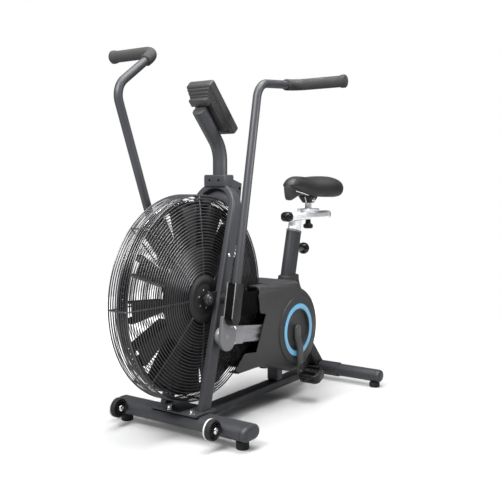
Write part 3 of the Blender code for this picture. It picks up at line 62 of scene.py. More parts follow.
view = {"place": (1.61385, -2.24003, 0.85219), "turn": (84.78, 0.0, 35.12), "lens": 53.83, "sensor": 36.0}
studio = {
    "floorSize": 4.8,
    "backdrop": (1.0, 1.0, 1.0, 1.0),
    "sky": (0.93, 0.96, 1.0, 1.0),
    "skyStrength": 0.14,
    "lamps": (
        {"name": "frontWindow", "place": (0.10, -2.1, 2.45), "aim": (0.0, -0.15, 0.95), "size": 1.2,
         "power": 138.0},
        {"name": "sideWindow", "place": (1.5, 0.3, 2.9), "aim": (0.0, 0.1, 0.6), "size": 1.3, "power": 11.0},
        {"name": "coverWindow", "place": (0.7, 0.3, 2.6), "aim": (0.06, 0.12, 0.46), "size": 0.4,
         "power": 0.8,
         "spread": 20.0},
        {"name": "highWindow", "place": (1.7, 0.45, 1.3), "aim": (0.05, -0.16, 0.78), "size": 0.5,
         "power": 1.6,
         "spread": 32.0},
        {"name": "topPanel", "place": (0.35, -0.10, 3.2), "aim": (0.0, 0.0, 0.4), "size": 2.2,
         "power": 168.0},
    ),
}


def setCamera():
    camera = bpy.data.cameras.new("photoCamera")
    camera.lens = view["lens"]
    camera.sensor_width = view["sensor"]
    obj = bpy.data.objects.new("photoCamera", camera)
    obj.location = view["place"]
    obj.rotation_euler = [radians(angle) for angle in view["turn"]]
    bpy.context.scene.collection.objects.link(obj)
    bpy.context.scene.camera = obj


def setStudio():
    world = bpy.data.worlds.new("paleRoom")
    world.use_nodes = True
    tree = world.node_tree
    sky = tree.nodes["Background"]
    sky.inputs["Color"].default_value = studio["sky"]
    sky.inputs["Strength"].default_value = studio["skyStrength"]
    backdrop = tree.nodes.new("ShaderNodeBackground")
    backdrop.inputs["Color"].default_value = studio["backdrop"]
    seen = tree.nodes.new("ShaderNodeLightPath")
    either = tree.nodes.new("ShaderNodeMixShader")
    tree.links.new(seen.outputs["Is Camera Ray"], either.inputs[0])
    tree.links.new(sky.outputs[0], either.inputs[1])
    tree.links.new(backdrop.outputs[0], either.inputs[2])
    tree.links.new(either.outputs[0], tree.nodes["World Output"].inputs["Surface"])
    bpy.context.scene.world = world
    for lamp in studio["lamps"]:
        light = bpy.data.lights.new(lamp["name"], "AREA")
        light.shape = "SQUARE"
        light.size = lamp["size"]
        light.energy = lamp["power"]
        light.spread = radians(lamp.get("spread", 180.0))
        obj = bpy.data.objects.new(lamp["name"], light)
        obj.location = lamp["place"]
        heading = Vector(lamp["aim"]) - Vector(lamp["place"])
        obj.rotation_euler = heading.to_track_quat("-Z", "Y").to_euler()
        bpy.context.scene.collection.objects.link(obj)
    bpy.context.scene.view_settings.view_transform = "Standard"


setCamera()
setStudio()
print("camera and lights set")


# Node boards: sockets as Python values, for shaders and geometry alike

class Wire:
    def __init__(self, board, socket):
        self.board = board
        self.socket = socket

    def maths(self, operation, first, second):
        return self.board.node("ShaderNodeMath", {"operation": operation}, {0: first, 1: second})

    def __add__(self, other):
        return self.maths("ADD", self, other)

    def __radd__(self, other):
        return self.maths("ADD", other, self)

    def __sub__(self, other):
        return self.maths("SUBTRACT", self, other)

    def __rsub__(self, other):
        return self.maths("SUBTRACT", other, self)

    def __mul__(self, other):
        return self.maths("MULTIPLY", self, other)

    def __rmul__(self, other):
        return self.maths("MULTIPLY", other, self)

    def __truediv__(self, other):
        return self.maths("DIVIDE", self, other)

    def __pow__(self, other):
        return self.maths("POWER", self, other)


class Board:
    def node(self, kind, settings=None, sockets=None, output=0):
        made = self.tree.nodes.new(kind)
        for key, value in (settings or {}).items():
            if key == "stops":
                self.setStops(made.color_ramp, value)
            else:
                setattr(made, key, value)
        for key, value in (sockets or {}).items():
            self.feed(made.inputs[key], value)
        return Wire(self, made.outputs[output])

    def setStops(self, ramp, stops):
        for spot, (place, shade) in zip(ramp.elements, stops):
            spot.position = place
            spot.color = (shade, shade, shade, 1.0)

    def feed(self, socket, value):
        if isinstance(value, Wire):
            self.tree.links.new(value.socket, socket)
        else:
            socket.default_value = value


class Finish(Board):
    def __init__(self, name, fixed):
        self.material = bpy.data.materials.new(name)
        self.material.use_nodes = True
        self.tree = self.material.node_tree
        self.shader = self.tree.nodes["Principled BSDF"]
        self.set(fixed)
        self.place = self.node("ShaderNodeTexCoord", output="Object")

    def set(self, values):
        for socket, value in values.items():
            self.feed(self.shader.inputs[socket], value)

    def stretched(self, scale):
        return self.node("ShaderNodeMapping", None, {"Vector": self.place, "Scale": scale})

    def noise(self, scale, detail=2.0, place=None):
        return self.node("ShaderNodeTexNoise", None,
                         {"Vector": place or self.place, "Scale": scale, "Detail": detail})

    def cells(self, scale):
        return self.node("ShaderNodeTexVoronoi", None, {"Vector": self.place, "Scale": scale})

    def ramp(self, value, low, high):
        return self.node("ShaderNodeValToRGB", {"stops": ((low, 0.0), (high, 1.0))}, {0: value})

    def mix(self, share, first, second):
        colours = {0: share, 6: (*first, 1.0), 7: (*second, 1.0)}
        return self.node("ShaderNodeMix", {"data_type": "RGBA"}, colours, output=2)

    def bump(self, height, strength, distance):
        sockets = {"Height": height, "Strength": strength, "Distance": distance}
        self.set({"Normal": self.node("ShaderNodeBump", None, sockets)})


class Graph(Board):
    def __init__(self, name, inputs):
        self.tree = bpy.data.node_groups.new(name, "GeometryNodeTree")
        face = self.tree.interface
        face.new_socket("Geometry", in_out="OUTPUT", socket_type="NodeSocketGeometry")
        self.ids = {}
        for label, kind in inputs.items():
            made = face.new_socket(label, in_out="INPUT", socket_type="NodeSocket" + kind)
            self.ids[label] = made.identifier
        self.given = self.tree.nodes.new("NodeGroupInput")

    def value(self, label):
        return Wire(self, self.given.outputs[label])

    def close(self, shape):
        real = self.node("GeometryNodeRealizeInstances", None, {0: shape})
        painted = self.node("GeometryNodeSetMaterial", None, {0: real, "Material": self.value("finish")})
        result = self.tree.nodes.new("NodeGroupOutput")
        self.feed(result.inputs[0], painted)

    def bake(self, name, values, host=None):
        obj = host or bpy.data.objects.new(name, bpy.data.meshes.new(name))
        if not host:
            bpy.context.scene.collection.objects.link(obj)
        change = obj.modifiers.new("repeat", "NODES")
        change.node_group = self.tree
        for label, value in values.items():
            change[self.ids[label]] = value
        return baked(obj)


def baked(obj):
    bpy.context.view_layer.update()
    graph = bpy.context.evaluated_depsgraph_get()
    mesh = bpy.data.meshes.new_from_object(obj.evaluated_get(graph))
    obj.modifiers.clear()
    obj.data = mesh
    return obj


# Finishes

paint = {"dark": (0.0345, 0.0352, 0.0385), "light": (0.0470, 0.0480, 0.0525), "rough": 0.36,
         "roughSpread": 0.14}


def makeFinishes():
    made = {}

    coat = Finish("charcoalPowderCoat", {"Metallic": 0.2, "Specular IOR Level": 0.25})
    peel = coat.noise(750.0, 1.0)
    cloud = coat.noise(7.0, 3.0)
    coat.set({"Base Color": coat.mix(cloud, paint["dark"], paint["light"]),
              "Roughness": paint["rough"] + paint["roughSpread"] * peel})
    coat.bump(peel, 0.10, 0.0004)
    made["coat"] = coat.material

    wire = Finish("blackWireCoat", {"Specular IOR Level": 0.6})
    fleck = wire.noise(260.0, 2.0)
    wire.set({"Base Color": wire.mix(fleck, (0.022, 0.022, 0.025), (0.034, 0.034, 0.037)),
              "Roughness": 0.24 + 0.14 * fleck})
    wire.bump(fleck, 0.06, 0.0003)
    made["wire"] = wire.material

    cover = Finish("satinCoverPlastic", {"Specular IOR Level": 0.22})
    grain = cover.cells(1100.0)
    drift = cover.noise(5.0, 3.0)
    cover.set({"Base Color": cover.mix(drift, (0.0262, 0.0260, 0.0270), (0.0340, 0.0337, 0.0350)),
               "Roughness": 0.36 + 0.18 * grain})
    cover.bump(grain, 0.16, 0.0003)
    made["cover"] = cover.material

    black = Finish("mouldedBlackPlastic", {"Specular IOR Level": 0.3})
    grit = black.cells(900.0)
    haze = black.noise(14.0, 2.0)
    black.set({"Base Color": black.mix(haze, (0.007, 0.007, 0.008), (0.013, 0.013, 0.014)),
               "Roughness": 0.40 + 0.2 * haze})
    black.bump(grit, 0.12, 0.0003)
    made["black"] = black.material

    gloss = Finish("glossBlackPlastic", {"Specular IOR Level": 0.2, "Coat Roughness": 0.1})
    smear = gloss.noise(30.0, 2.0)
    gloss.set({"Base Color": gloss.mix(smear, (0.004, 0.004, 0.0045), (0.008, 0.008, 0.0085)),
               "Roughness": 0.20 + 0.14 * smear, "Coat Weight": 0.06 + 0.14 * smear})
    made["gloss"] = gloss.material

    rotor = Finish("darkSheetRotor", {"Specular IOR Level": 0.22})
    streak = rotor.noise(60.0, 2.0)
    rotor.set({"Base Color": rotor.mix(streak, (0.0095, 0.0093, 0.009), (0.0155, 0.0152, 0.015)),
               "Roughness": 0.40 + 0.2 * streak})
    rotor.bump(streak, 0.08, 0.0005)
    made["rotor"] = rotor.material

    blue = Finish("skyBlueRing", {"Coat Weight": 0.4, "Coat Roughness": 0.1})
    tint = blue.noise(40.0, 2.0)
    blue.set({"Base Color": blue.mix(tint, (0.060, 0.290, 0.480), (0.085, 0.345, 0.550)),
              "Roughness": 0.26 + 0.1 * tint})
    made["blue"] = blue.material

    # navy: dark navy for the thin rims beside the blue ring, painted shade for the grooves at its edges.
    navy = Finish("navyGroove", {})
    shade = navy.noise(40.0, 2.0)
    navy.set({"Base Color": navy.mix(shade, (0.004, 0.018, 0.045), (0.008, 0.030, 0.065)),
              "Roughness": 0.35 + 0.1 * shade})
    made["navy"] = navy.material

    # castDull is the same cast aluminium at 0.68 of its tone; the rocker lobes use it.
    for name, tone in (("cast", 1.0), ("castDull", 0.68)):
        cast = Finish(name + "Aluminium", {"Metallic": 0.75})
        sand = cast.noise(420.0, 2.0)
        cloudy = cast.noise(16.0, 3.0)
        low, high = [(share * tone, share * tone, share * tone * 1.05) for share in (0.22, 0.31)]
        cast.set({"Base Color": cast.mix(cloudy, low, high), "Roughness": 0.38 + 0.18 * sand})
        cast.bump(sand, 0.14, 0.0004)
        made[name] = cast.material

    bright = Finish("brightAluminium", {"Metallic": 0.3})
    brush = bright.noise(300.0, 2.0, bright.stretched((1.0, 0.02, 1.0)))
    bright.set({"Base Color": bright.mix(brush, (0.90, 0.91, 0.92), (0.97, 0.975, 0.98)),
                "Roughness": 0.22 + 0.14 * brush})
    bright.bump(brush, 0.05, 0.0002)
    made["bright"] = bright.material

    chrome = Finish("chromedSteel", {"Metallic": 1.0})
    wipe = chrome.noise(120.0, 2.0)
    chrome.set({"Base Color": chrome.mix(wipe, (0.62, 0.62, 0.63), (0.74, 0.74, 0.75)),
                "Roughness": 0.12 + 0.12 * wipe})
    made["chrome"] = chrome.material

    zinc = Finish("zincSteel", {"Metallic": 0.9})
    dull = zinc.noise(200.0, 2.0)
    zinc.set({"Base Color": zinc.mix(dull, (0.30, 0.30, 0.31), (0.42, 0.42, 0.43)),
              "Roughness": 0.30 + 0.2 * dull})
    zinc.bump(dull, 0.06, 0.0003)
    made["zinc"] = zinc.material

    rubber = Finish("mouldedRubber", {"Specular IOR Level": 0.25})
    bloom = rubber.noise(90.0, 3.0)
    rubber.set({"Base Color": rubber.mix(bloom, (0.008, 0.008, 0.008), (0.015, 0.015, 0.015)),
                "Roughness": 0.62 + 0.2 * bloom})
    rubber.bump(bloom, 0.15, 0.0004)
    made["rubber"] = rubber.material

    tyre = Finish("paleTyrePlastic", {})
    scuff = tyre.noise(70.0, 3.0)
    tyre.set({"Base Color": tyre.mix(scuff, (0.40, 0.39, 0.37), (0.55, 0.54, 0.52)),
              "Roughness": 0.4 + 0.2 * scuff})
    made["tyre"] = tyre.material

    # pitch: a reflectionless black that paints shade. The rail side panels, the dark arcs in the fan guard
    # and the sheets in the lever channels use it; its noise only varies the dark tone.
    pitch = Finish("unlitBlackPanel", {"Specular IOR Level": 0.0})
    shadeNoise = pitch.noise(40.0, 2.0)
    pitch.set({"Base Color": pitch.mix(shadeNoise, (0.003, 0.0033, 0.003), (0.006, 0.0064, 0.006)),
               "Roughness": 0.55 + 0.2 * shadeNoise})
    made["pitch"] = pitch.material

    band = Finish("greyBandPlastic", {})
    speck = band.noise(300.0, 2.0)
    band.set({"Base Color": band.mix(speck, (0.11, 0.115, 0.12), (0.15, 0.155, 0.16)),
              "Roughness": 0.34 + 0.16 * speck})
    made["band"] = band.material

    arm = Finish("satinCrankPaint", {"Specular IOR Level": 0.4})
    cloud = arm.noise(60.0, 3.0)
    arm.set({"Base Color": arm.mix(cloud, (0.034, 0.036, 0.036), (0.044, 0.046, 0.046)),
             "Roughness": 0.38 + 0.14 * cloud})
    made["arm"] = arm.material

    foam = Finish("gripFoam", {"Specular IOR Level": 0.35})
    pores = foam.cells(620.0)
    soft = foam.noise(24.0, 2.0)
    foam.set({"Base Color": foam.mix(soft, (0.018, 0.018, 0.018), (0.029, 0.029, 0.028)),
              "Roughness": 0.74 + 0.16 * pores})
    foam.bump(pores, 0.35, 0.0006)
    made["foam"] = foam.material

    vinyl = Finish("saddleVinyl", {"Specular IOR Level": 0.32, "Sheen Weight": 0.05, "Sheen Roughness": 0.4})
    hide = vinyl.cells(430.0)
    rub = vinyl.noise(11.0, 3.0)
    vinyl.set({"Base Color": vinyl.mix(rub, (0.010, 0.010, 0.0105), (0.017, 0.017, 0.0175)),
               "Roughness": 0.44 + 0.16 * rub})
    vinyl.bump(hide, 0.22, 0.0005)
    made["vinyl"] = vinyl.material

    glass = Finish("darkScreenGlass", {"Coat Weight": 0.5, "Coat Roughness": 0.05})
    film = glass.noise(25.0, 2.0)
    glass.set({"Base Color": glass.mix(film, (0.008, 0.010, 0.011), (0.016, 0.019, 0.020)),
               "Roughness": 0.06 + 0.08 * film})
    made["glass"] = glass.material

    floor = Finish("paleFloor", {"Emission Strength": 1.0})
    dust = floor.noise(1.5, 3.0)
    far = floor.node("ShaderNodeVectorMath", {"operation": "LENGTH"}, {0: floor.place}, output=1)
    glow = floor.ramp(far / 4.0, 0.05, 0.40)
    floor.set({"Base Color": floor.mix(dust, (0.36, 0.36, 0.36), (0.39, 0.39, 0.39)),
               "Roughness": 0.6 + 0.1 * dust,
               "Emission Color": floor.mix(glow, (0.0, 0.0, 0.0), (1.0, 1.0, 1.0))})
    made["floor"] = floor.material
    return made


finishes = makeFinishes()
print("finishes made:", len(finishes))


# Making shapes

mergeGap = 0.000005


def meshFrom(name, build):
    work = bmesh.new()
    build(work)
    bmesh.ops.remove_doubles(work, verts=work.verts, dist=mergeGap)
    bmesh.ops.recalc_face_normals(work, faces=work.faces)
    mesh = bpy.data.meshes.new(name)
    work.to_mesh(mesh)
    work.free()
    obj = bpy.data.objects.new(name, mesh)
    bpy.context.scene.collection.objects.link(obj)
    return obj


def own(obj, body, finish, stands=(), angle=35.0):
    obj.data.materials.clear()
    obj.data.materials.append(finishes[finish])
    obj.data.shade_smooth()
    obj.data.set_sharp_from_angle(angle=radians(angle))
    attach(obj, body)
    if stands:
        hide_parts(*stands)
    return obj


def roundSharp(work, edge, steps, angle=40.0):
    sharp = [e for e in work.edges if len(e.link_faces) == 2 and e.calc_face_angle() > radians(angle)]
    bmesh.ops.bevel(work, geom=sharp, offset=edge, segments=steps, profile=0.5, affect="EDGES",
                    clamp_overlap=True)


def loft(name, rings, ends=True, turn=Matrix()):
    def build(work):
        loops = [[work.verts.new(turn @ Vector(point)) for point in ring] for ring in rings]
        for near, far in zip(loops, loops[1:]):
            for index in range(len(near)):
                after = (index + 1) % len(near)
                work.faces.new((near[index], near[after], far[after], far[index]))
        if ends:
            work.faces.new(loops[0])
            work.faces.new(loops[-1])

    return meshFrom(name, build)


def lathe(name, profile, centre, axis, steps=64, closed=False):
    turn = Vector((0, 0, 1)).rotation_difference(Vector(axis)).to_matrix()

    def ringAt(work, radius, along):
        spots = [0.0] if radius < mergeGap else [2 * pi * step / steps for step in range(steps)]
        around = [Vector((radius * cos(a), radius * sin(a), along)) for a in spots]
        return [work.verts.new(Vector(centre) + turn @ spot) for spot in around]

    def build(work):
        rings = [ringAt(work, radius, along) for radius, along in profile]
        pairs = list(zip(rings, rings[1:])) + ([(rings[-1], rings[0])] if closed else [])
        for near, far in pairs:
            for step in range(steps):
                after = step + 1
                corners = (near[step % len(near)], near[after % len(near)], far[after % len(far)],
                           far[step % len(far)])
                corners = list(dict.fromkeys(corners))
                if len(corners) > 2:
                    work.faces.new(corners)

    return meshFrom(name, build)


def sweep(name, path, section, up, sizes=None):
    path = [Vector(point) for point in path]
    rings = []
    guide = Vector(up)
    for index, point in enumerate(path):
        before = path[max(index - 1, 0)]
        after = path[min(index + 1, len(path) - 1)]
        heading = (after - before).normalized()
        guide = (guide - heading * guide.dot(heading)).normalized()
        across = heading.cross(guide)
        size = sizes[index] if sizes else 1.0
        rings.append([point + (across * u + guide * v) * size for u, v in section])
    return loft(name, rings)


def slab(name, outline, low, high, edge=0.0, steps=3, turn=Matrix()):
    def build(work):
        base = work.faces.new([work.verts.new((low, y, z)) for y, z in outline])
        grown = bmesh.ops.extrude_face_region(work, geom=[base])["geom"]
        moved = [part for part in grown if isinstance(part, bmesh.types.BMVert)]
        bmesh.ops.translate(work, verts=moved, vec=(high - low, 0.0, 0.0))
        bmesh.ops.recalc_face_normals(work, faces=work.faces)
        if edge:
            roundSharp(work, edge, steps)
        bmesh.ops.transform(work, matrix=turn, verts=work.verts)

    return meshFrom(name, build)


def softBox(name, low, high, edge, steps=3, turn=Matrix()):
    middle = (Vector(low) + Vector(high)) / 2
    size = Vector(high) - Vector(low)

    def build(work):
        spread = Matrix.Translation(middle) @ Matrix.Diagonal((*size, 1.0))
        bmesh.ops.create_cube(work, size=1.0, matrix=spread)
        roundSharp(work, edge, steps)
        bmesh.ops.transform(work, matrix=turn, verts=work.verts)

    return meshFrom(name, build)


def carve(obj, tool, operation="DIFFERENCE"):
    cutting = obj.modifiers.new("shape", "BOOLEAN")
    cutting.operation = operation
    cutting.solver = "EXACT"
    cutting.object = tool
    baked(obj)
    bpy.data.objects.remove(tool, do_unlink=True)
    return obj


def merged(name, *objs):
    def build(work):
        for obj in objs:
            work.from_mesh(obj.data)

    made = meshFrom(name, build)
    for obj in objs:
        bpy.data.objects.remove(obj, do_unlink=True)
    return made


def circle(radius, steps):
    turns = [2 * pi * step / steps for step in range(steps)]
    return [(radius * cos(turn), radius * sin(turn)) for turn in turns]


def arc(centre, radius, start, end, steps):
    angles = [start + (end - start) * step / steps for step in range(steps + 1)]
    return [(centre[0] + radius * cos(a), centre[1] + radius * sin(a)) for a in angles]


def obround(half, radius, steps=16):
    return (arc((half - radius, 0.0), radius, -pi / 2, pi / 2, steps)
            + arc((radius - half, 0.0), radius, pi / 2, 3 * pi / 2, steps))


def roundedRect(halfU, halfV, radius, steps=6):
    corners = ((halfU - radius, halfV - radius, 0.0), (radius - halfU, halfV - radius, pi / 2),
               (radius - halfU, radius - halfV, pi), (halfU - radius, radius - halfV, 3 * pi / 2))
    return [spot for u, v, start in corners for spot in arc((u, v), radius, start, start + pi / 2, steps)]


def twoCircles(first, firstRadius, second, secondRadius, steps=24):
    across = Vector(second) - Vector(first)
    heading = atan2(across.y, across.x)
    edge = pi / 2 - asin((firstRadius - secondRadius) / across.length)
    near = arc(second, secondRadius, heading - edge, heading + edge, steps)
    return near + arc(first, firstRadius, heading + edge, heading + 2 * pi - edge, steps)


def rounded(points, bends, steps=14):
    path = [Vector(points[0])]
    for before, corner, after, bend in zip(points, points[1:], points[2:], bends):
        corner = Vector(corner)
        back = (Vector(before) - corner).normalized()
        on = (Vector(after) - corner).normalized()
        half = back.angle(on) / 2
        centre = corner + (back + on).normalized() * bend / sin(half)
        start = (corner + back * bend / tan(half) - centre).normalized()
        finish = (corner + on * bend / tan(half) - centre).normalized()
        path += [centre + start.slerp(finish, step / steps).normalized() * bend for step in range(steps + 1)]
    path.append(Vector(points[-1]))
    return path


# Node trees that repeat a wire, a piece round an axis, or a piece at set places

def ringTree():
    tree = Graph("wireRings", {"rings": "Int", "innerRadius": "Float", "outerRadius": "Float",
                               "faceX": "Float",
                               "edgeX": "Float", "bulge": "Float", "wireRadius": "Float", "centre": "Vector",
                               "finish": "Material"})
    line = tree.node("GeometryNodeMeshLine", None, {"Count": tree.value("rings"), "Offset": (0.0, 0.0, 0.0)})
    share = tree.node("GeometryNodeInputIndex") / (tree.value("rings") - 1.0)
    radius = tree.value("innerRadius") + (tree.value("outerRadius") - tree.value("innerRadius")) * share
    depth = tree.value("faceX") + (tree.value("edgeX") - tree.value("faceX")) * share ** tree.value("bulge")
    place = tree.node("ShaderNodeCombineXYZ", None, {0: depth})
    points = tree.node("GeometryNodeSetPosition", None, {0: line, "Position": place})
    loop = tree.node("GeometryNodeCurvePrimitiveCircle", None, {"Resolution": 144, "Radius": 1.0})
    upright = tree.node("GeometryNodeTransform", None, {0: loop, "Rotation": (0.0, pi / 2, 0.0)})
    spread = tree.node("ShaderNodeCombineXYZ", None, {0: 1.0, 1: radius, 2: radius})
    rings = tree.node("GeometryNodeInstanceOnPoints", None, {0: points, "Instance": upright, "Scale": spread})
    curves = tree.node("GeometryNodeRealizeInstances", None, {0: rings})
    even = tree.node("GeometryNodeSetCurveRadius", None, {0: curves, "Radius": 1.0})
    thick = tree.node("GeometryNodeCurvePrimitiveCircle", None,
                      {"Resolution": 8, "Radius": tree.value("wireRadius")})
    wires = tree.node("GeometryNodeCurveToMesh", None, {0: even, "Profile Curve": thick})
    tree.close(tree.node("GeometryNodeTransform", None, {0: wires, "Translation": tree.value("centre")}))
    return tree


def roundTree():
    tree = Graph("roundAnAxis", {"piece": "Object", "count": "Int", "phase": "Float", "centre": "Vector",
                                 "turn": "Rotation", "finish": "Material"})
    line = tree.node("GeometryNodeMeshLine", None, {"Count": tree.value("count"), "Offset": (0.0, 0.0, 0.0)})
    angle = tree.node("GeometryNodeInputIndex") * (2 * pi) / tree.value("count") + tree.value("phase")
    euler = tree.node("ShaderNodeCombineXYZ", None, {0: angle})
    spin = tree.node("FunctionNodeEulerToRotation", None, {0: euler})
    shape = tree.node("GeometryNodeObjectInfo", None, {"Object": tree.value("piece")}, output="Geometry")
    copies = tree.node("GeometryNodeInstanceOnPoints", None, {0: line, "Instance": shape, "Rotation": spin})
    tree.close(tree.node("GeometryNodeTransform", None, {0: copies, "Translation": tree.value("centre"),
                                                         "Rotation": tree.value("turn")}))
    return tree


def placedTree():
    tree = Graph("atSetPlaces", {"spots": "Geometry", "piece": "Object", "finish": "Material"})
    facing = tree.node("GeometryNodeInputNamedAttribute", {"data_type": "FLOAT_VECTOR"}, {"Name": "facing"})
    spin = tree.node("FunctionNodeAlignRotationToVector", {"axis": "Z"}, {"Vector": facing})
    shape = tree.node("GeometryNodeObjectInfo", None, {"Object": tree.value("piece")}, output="Geometry")
    copies = tree.node("GeometryNodeInstanceOnPoints", None,
                       {0: tree.value("spots"), "Instance": shape, "Rotation": spin})
    tree.close(copies)
    return tree


wireRings = ringTree()
roundAnAxis = roundTree()
atSetPlaces = placedTree()


def repeatRound(name, piece, count, centre, finish, phase=0.0, axis=(1, 0, 0)):
    turn = Vector((1, 0, 0)).rotation_difference(Vector(axis)).to_euler()
    obj = roundAnAxis.bake(name, {"piece": piece, "count": count, "phase": phase, "centre": Vector(centre),
                                  "turn": turn, "finish": finishes[finish]})
    bpy.data.objects.remove(piece, do_unlink=True)
    return obj


def repeatAt(name, piece, spots, finish):
    mesh = bpy.data.meshes.new(name)
    mesh.from_pydata([place for place, facing in spots], [], [])
    facings = mesh.attributes.new("facing", "FLOAT_VECTOR", "POINT")
    for slot, (place, facing) in zip(facings.data, spots):
        slot.vector = facing
    host = bpy.data.objects.new(name, mesh)
    bpy.context.scene.collection.objects.link(host)
    obj = atSetPlaces.bake(name, {"piece": piece, "finish": finishes[finish]}, host)
    bpy.data.objects.remove(piece, do_unlink=True)
    return obj


def boltHead(radius, height, sidesCount=6):
    crown = height * 0.75
    hexagon = lathe("boltSource", [(0.0, height), (radius * 0.7, height), (radius, crown), (radius, 0.0),
                                   (0.0, 0.0)],
                    (0, 0, 0), (0, 0, 1), sidesCount)
    collar = lathe("boltCollar", [(0.0, height * 0.22), (radius * 1.35, height * 0.22), (radius * 1.45, 0.0),
                                  (0.0, 0.0)],
                   (0, 0, 0), (0, 0, 1), 24)
    return merged("boltSource", hexagon, collar)


def domeHead(radius, height):
    profile = [(radius * sin(a), height * (0.35 + 0.65 * cos(a))) for a in (0.0, 0.4, 0.8, 1.2, pi / 2)]
    socket = [(0.0, height * 0.55), (radius * 0.42, height * 0.55), (radius * 0.42, height * 0.96)]
    return lathe("domeSource", socket + profile[1:] + [(radius, 0.0), (0.0, 0.0)], (0, 0, 0), (0, 0, 1), 24)


print("trees and shape makers ready")


def trimPlane(obj, place, outward):
    def build(work):
        work.from_mesh(obj.data)
        everything = work.verts[:] + work.edges[:] + work.faces[:]
        cutEdges = bmesh.ops.bisect_plane(work, geom=everything, plane_co=place, plane_no=outward,
                                          clear_outer=True)["geom_cut"]
        loops = [part for part in cutEdges if isinstance(part, bmesh.types.BMEdge)]
        bmesh.ops.holes_fill(work, edges=loops, sides=0)

    made = meshFrom(obj.name + "_cut", build)
    name = obj.name
    bpy.data.objects.remove(obj, do_unlink=True)
    made.name = name
    return made


def between(sign, low, high):
    return (low, high) if sign > 0 else (-high, -low)


def washer(name, inner, outer, low, high, centre, axis, edge=0.0006, steps=72):
    profile = [(inner, low + edge), (inner + edge, low), (outer - edge, low), (outer, low + edge),
               (outer, high - edge), (outer - edge, high), (inner + edge, high), (inner, high - edge)]
    return lathe(name, profile, centre, axis, steps, closed=True)


gap = 0.0003
fanCentre = Vector((0.0, -0.294, 0.460))
crankCentre = Vector((0.0, 0.228, 0.276))
pivotCentre = Vector((0.0, -0.237, 0.458))


# Floor

def makeFloor():
    half = studio["floorSize"] / 2
    floor = meshFrom("floor", lambda work: bmesh.ops.create_grid(work, x_segments=2, y_segments=2, size=half))
    floor.data.materials.append(finishes["floor"])


makeFloor()


# Floor bars with their end caps

bars = {"front": {"y": -0.349, "z": 0.057, "half": 0.296, "depth": 0.045, "radius": 0.025,
                  "node": "front_stabiliser"},
        "rear": {"y": 0.562, "z": 0.048, "half": 0.312, "depth": 0.026, "radius": 0.026,
                 "node": "rear_stabiliser"},
        "capLength": 0.024, "capRound": 0.014, "capSteps": 8, "seam": 0.0012, "sleeveHalf": 0.115,
        "sleeveWall": 0.004, "sleeveEdge": 0.0025}


def barRing(end, x, inset):
    spec = bars[end]
    section = obround(spec["depth"] - inset, spec["radius"] - inset, 20)
    return [(x, spec["y"] + u, spec["z"] + v) for u, v in section]


def makeBar(end):
    spec = bars[end]
    start = spec["half"] - bars["capLength"]
    seam = bars["seam"]
    levels = ((-start, seam), (seam - start, 0.0), (start - seam, 0.0), (start, seam))
    body = loft(end + "_bar_tube", [barRing(end, x, inset) for x, inset in levels])
    own(body, "frame", "coat", (spec["node"],))
    flat = bars["capLength"] - bars["capRound"]
    levels = [(-seam, seam * 1.6), (seam * 0.6, seam * 1.6), (seam * 1.6, 0.0), (flat, 0.0)]
    for step in range(1, bars["capSteps"] + 1):
        turn = pi / 2 * step / bars["capSteps"]
        levels.append((flat + bars["capRound"] * sin(turn), bars["capRound"] * (1 - cos(turn))))
    for side, sign in sides.items():
        rings = [barRing(end, sign * (start + along), inset) for along, inset in levels]
        own(loft(f"{end}_bar_cap_{side}", rings), "frame", "coat")


makeBar("front")
makeBar("rear")


def makeSleeve():
    wall = bars["sleeveWall"]
    half = bars["sleeveHalf"]
    edge = bars["sleeveEdge"]
    levels = [(-half, -wall * 0.4), (edge - half, -wall), (half - edge, -wall), (half, -wall * 0.4)]
    sleeve = loft("rear_sleeve", [barRing("rear", x, inset) for x, inset in levels])
    own(sleeve, "frame", "coat")


makeSleeve()


# Feet and transport wheels

feet = {"front": {"x": 0.255, "y": -0.349, "top": 0.0317}, "rear": {"x": 0.279, "y": 0.562, "top": 0.0217},
        "radius": 0.0215, "step": 0.0025, "edge": 0.001}


def makeFoot(end, side):
    spec = feet[end]
    outer = feet["radius"]
    inner = outer - feet["step"]
    high = spec["top"]
    edge = feet["edge"]
    profile = [(0.0, 0.0), (inner, 0.0), (outer - edge, edge), (outer, feet["step"]),
               (outer, high - feet["step"] * 2),
               (outer - edge, high - feet["step"] * 1.5), (inner, high - feet["step"] * 1.3), (inner, high),
               (0.0, high)]
    pad = lathe(f"foot_{end}_{side}_pad", profile, (sides[side] * spec["x"], spec["y"], 0.0), (0, 0, 1), 56)
    own(pad, "frame", "rubber", (f"foot_{end}_{side}",))


for end in ("front", "rear"):
    for side in sides:
        makeFoot(end, side)

wheels = {"left": 0.195, "right": -0.2175, "y": -0.430, "z": 0.072, "armGap": 0.0135, "armThick": 0.006,
          "profile": [(0.0064, 0.0088), (0.0112, 0.0088), (0.0124, 0.0052), (0.0262, 0.0040),
                      (0.0282, 0.0112),
                      (0.0312, 0.0120), (0.0332, 0.0100), (0.0340, 0.0062), (0.0340, -0.0040),
                      (0.0334, -0.0056),
                      (0.0282, -0.0056), (0.0262, -0.0050), (0.0124, -0.0050), (0.0064, -0.0088)],
          "rib": ((0.0035, -0.0012, 0.0118), (0.0072, 0.0012, 0.0272)), "ribs": 6,
          "rim": (0.0268, 0.0346, -0.0120, -0.0058), "axle": 0.006, "headRadius": 0.0108, "headHeight": 0.006}


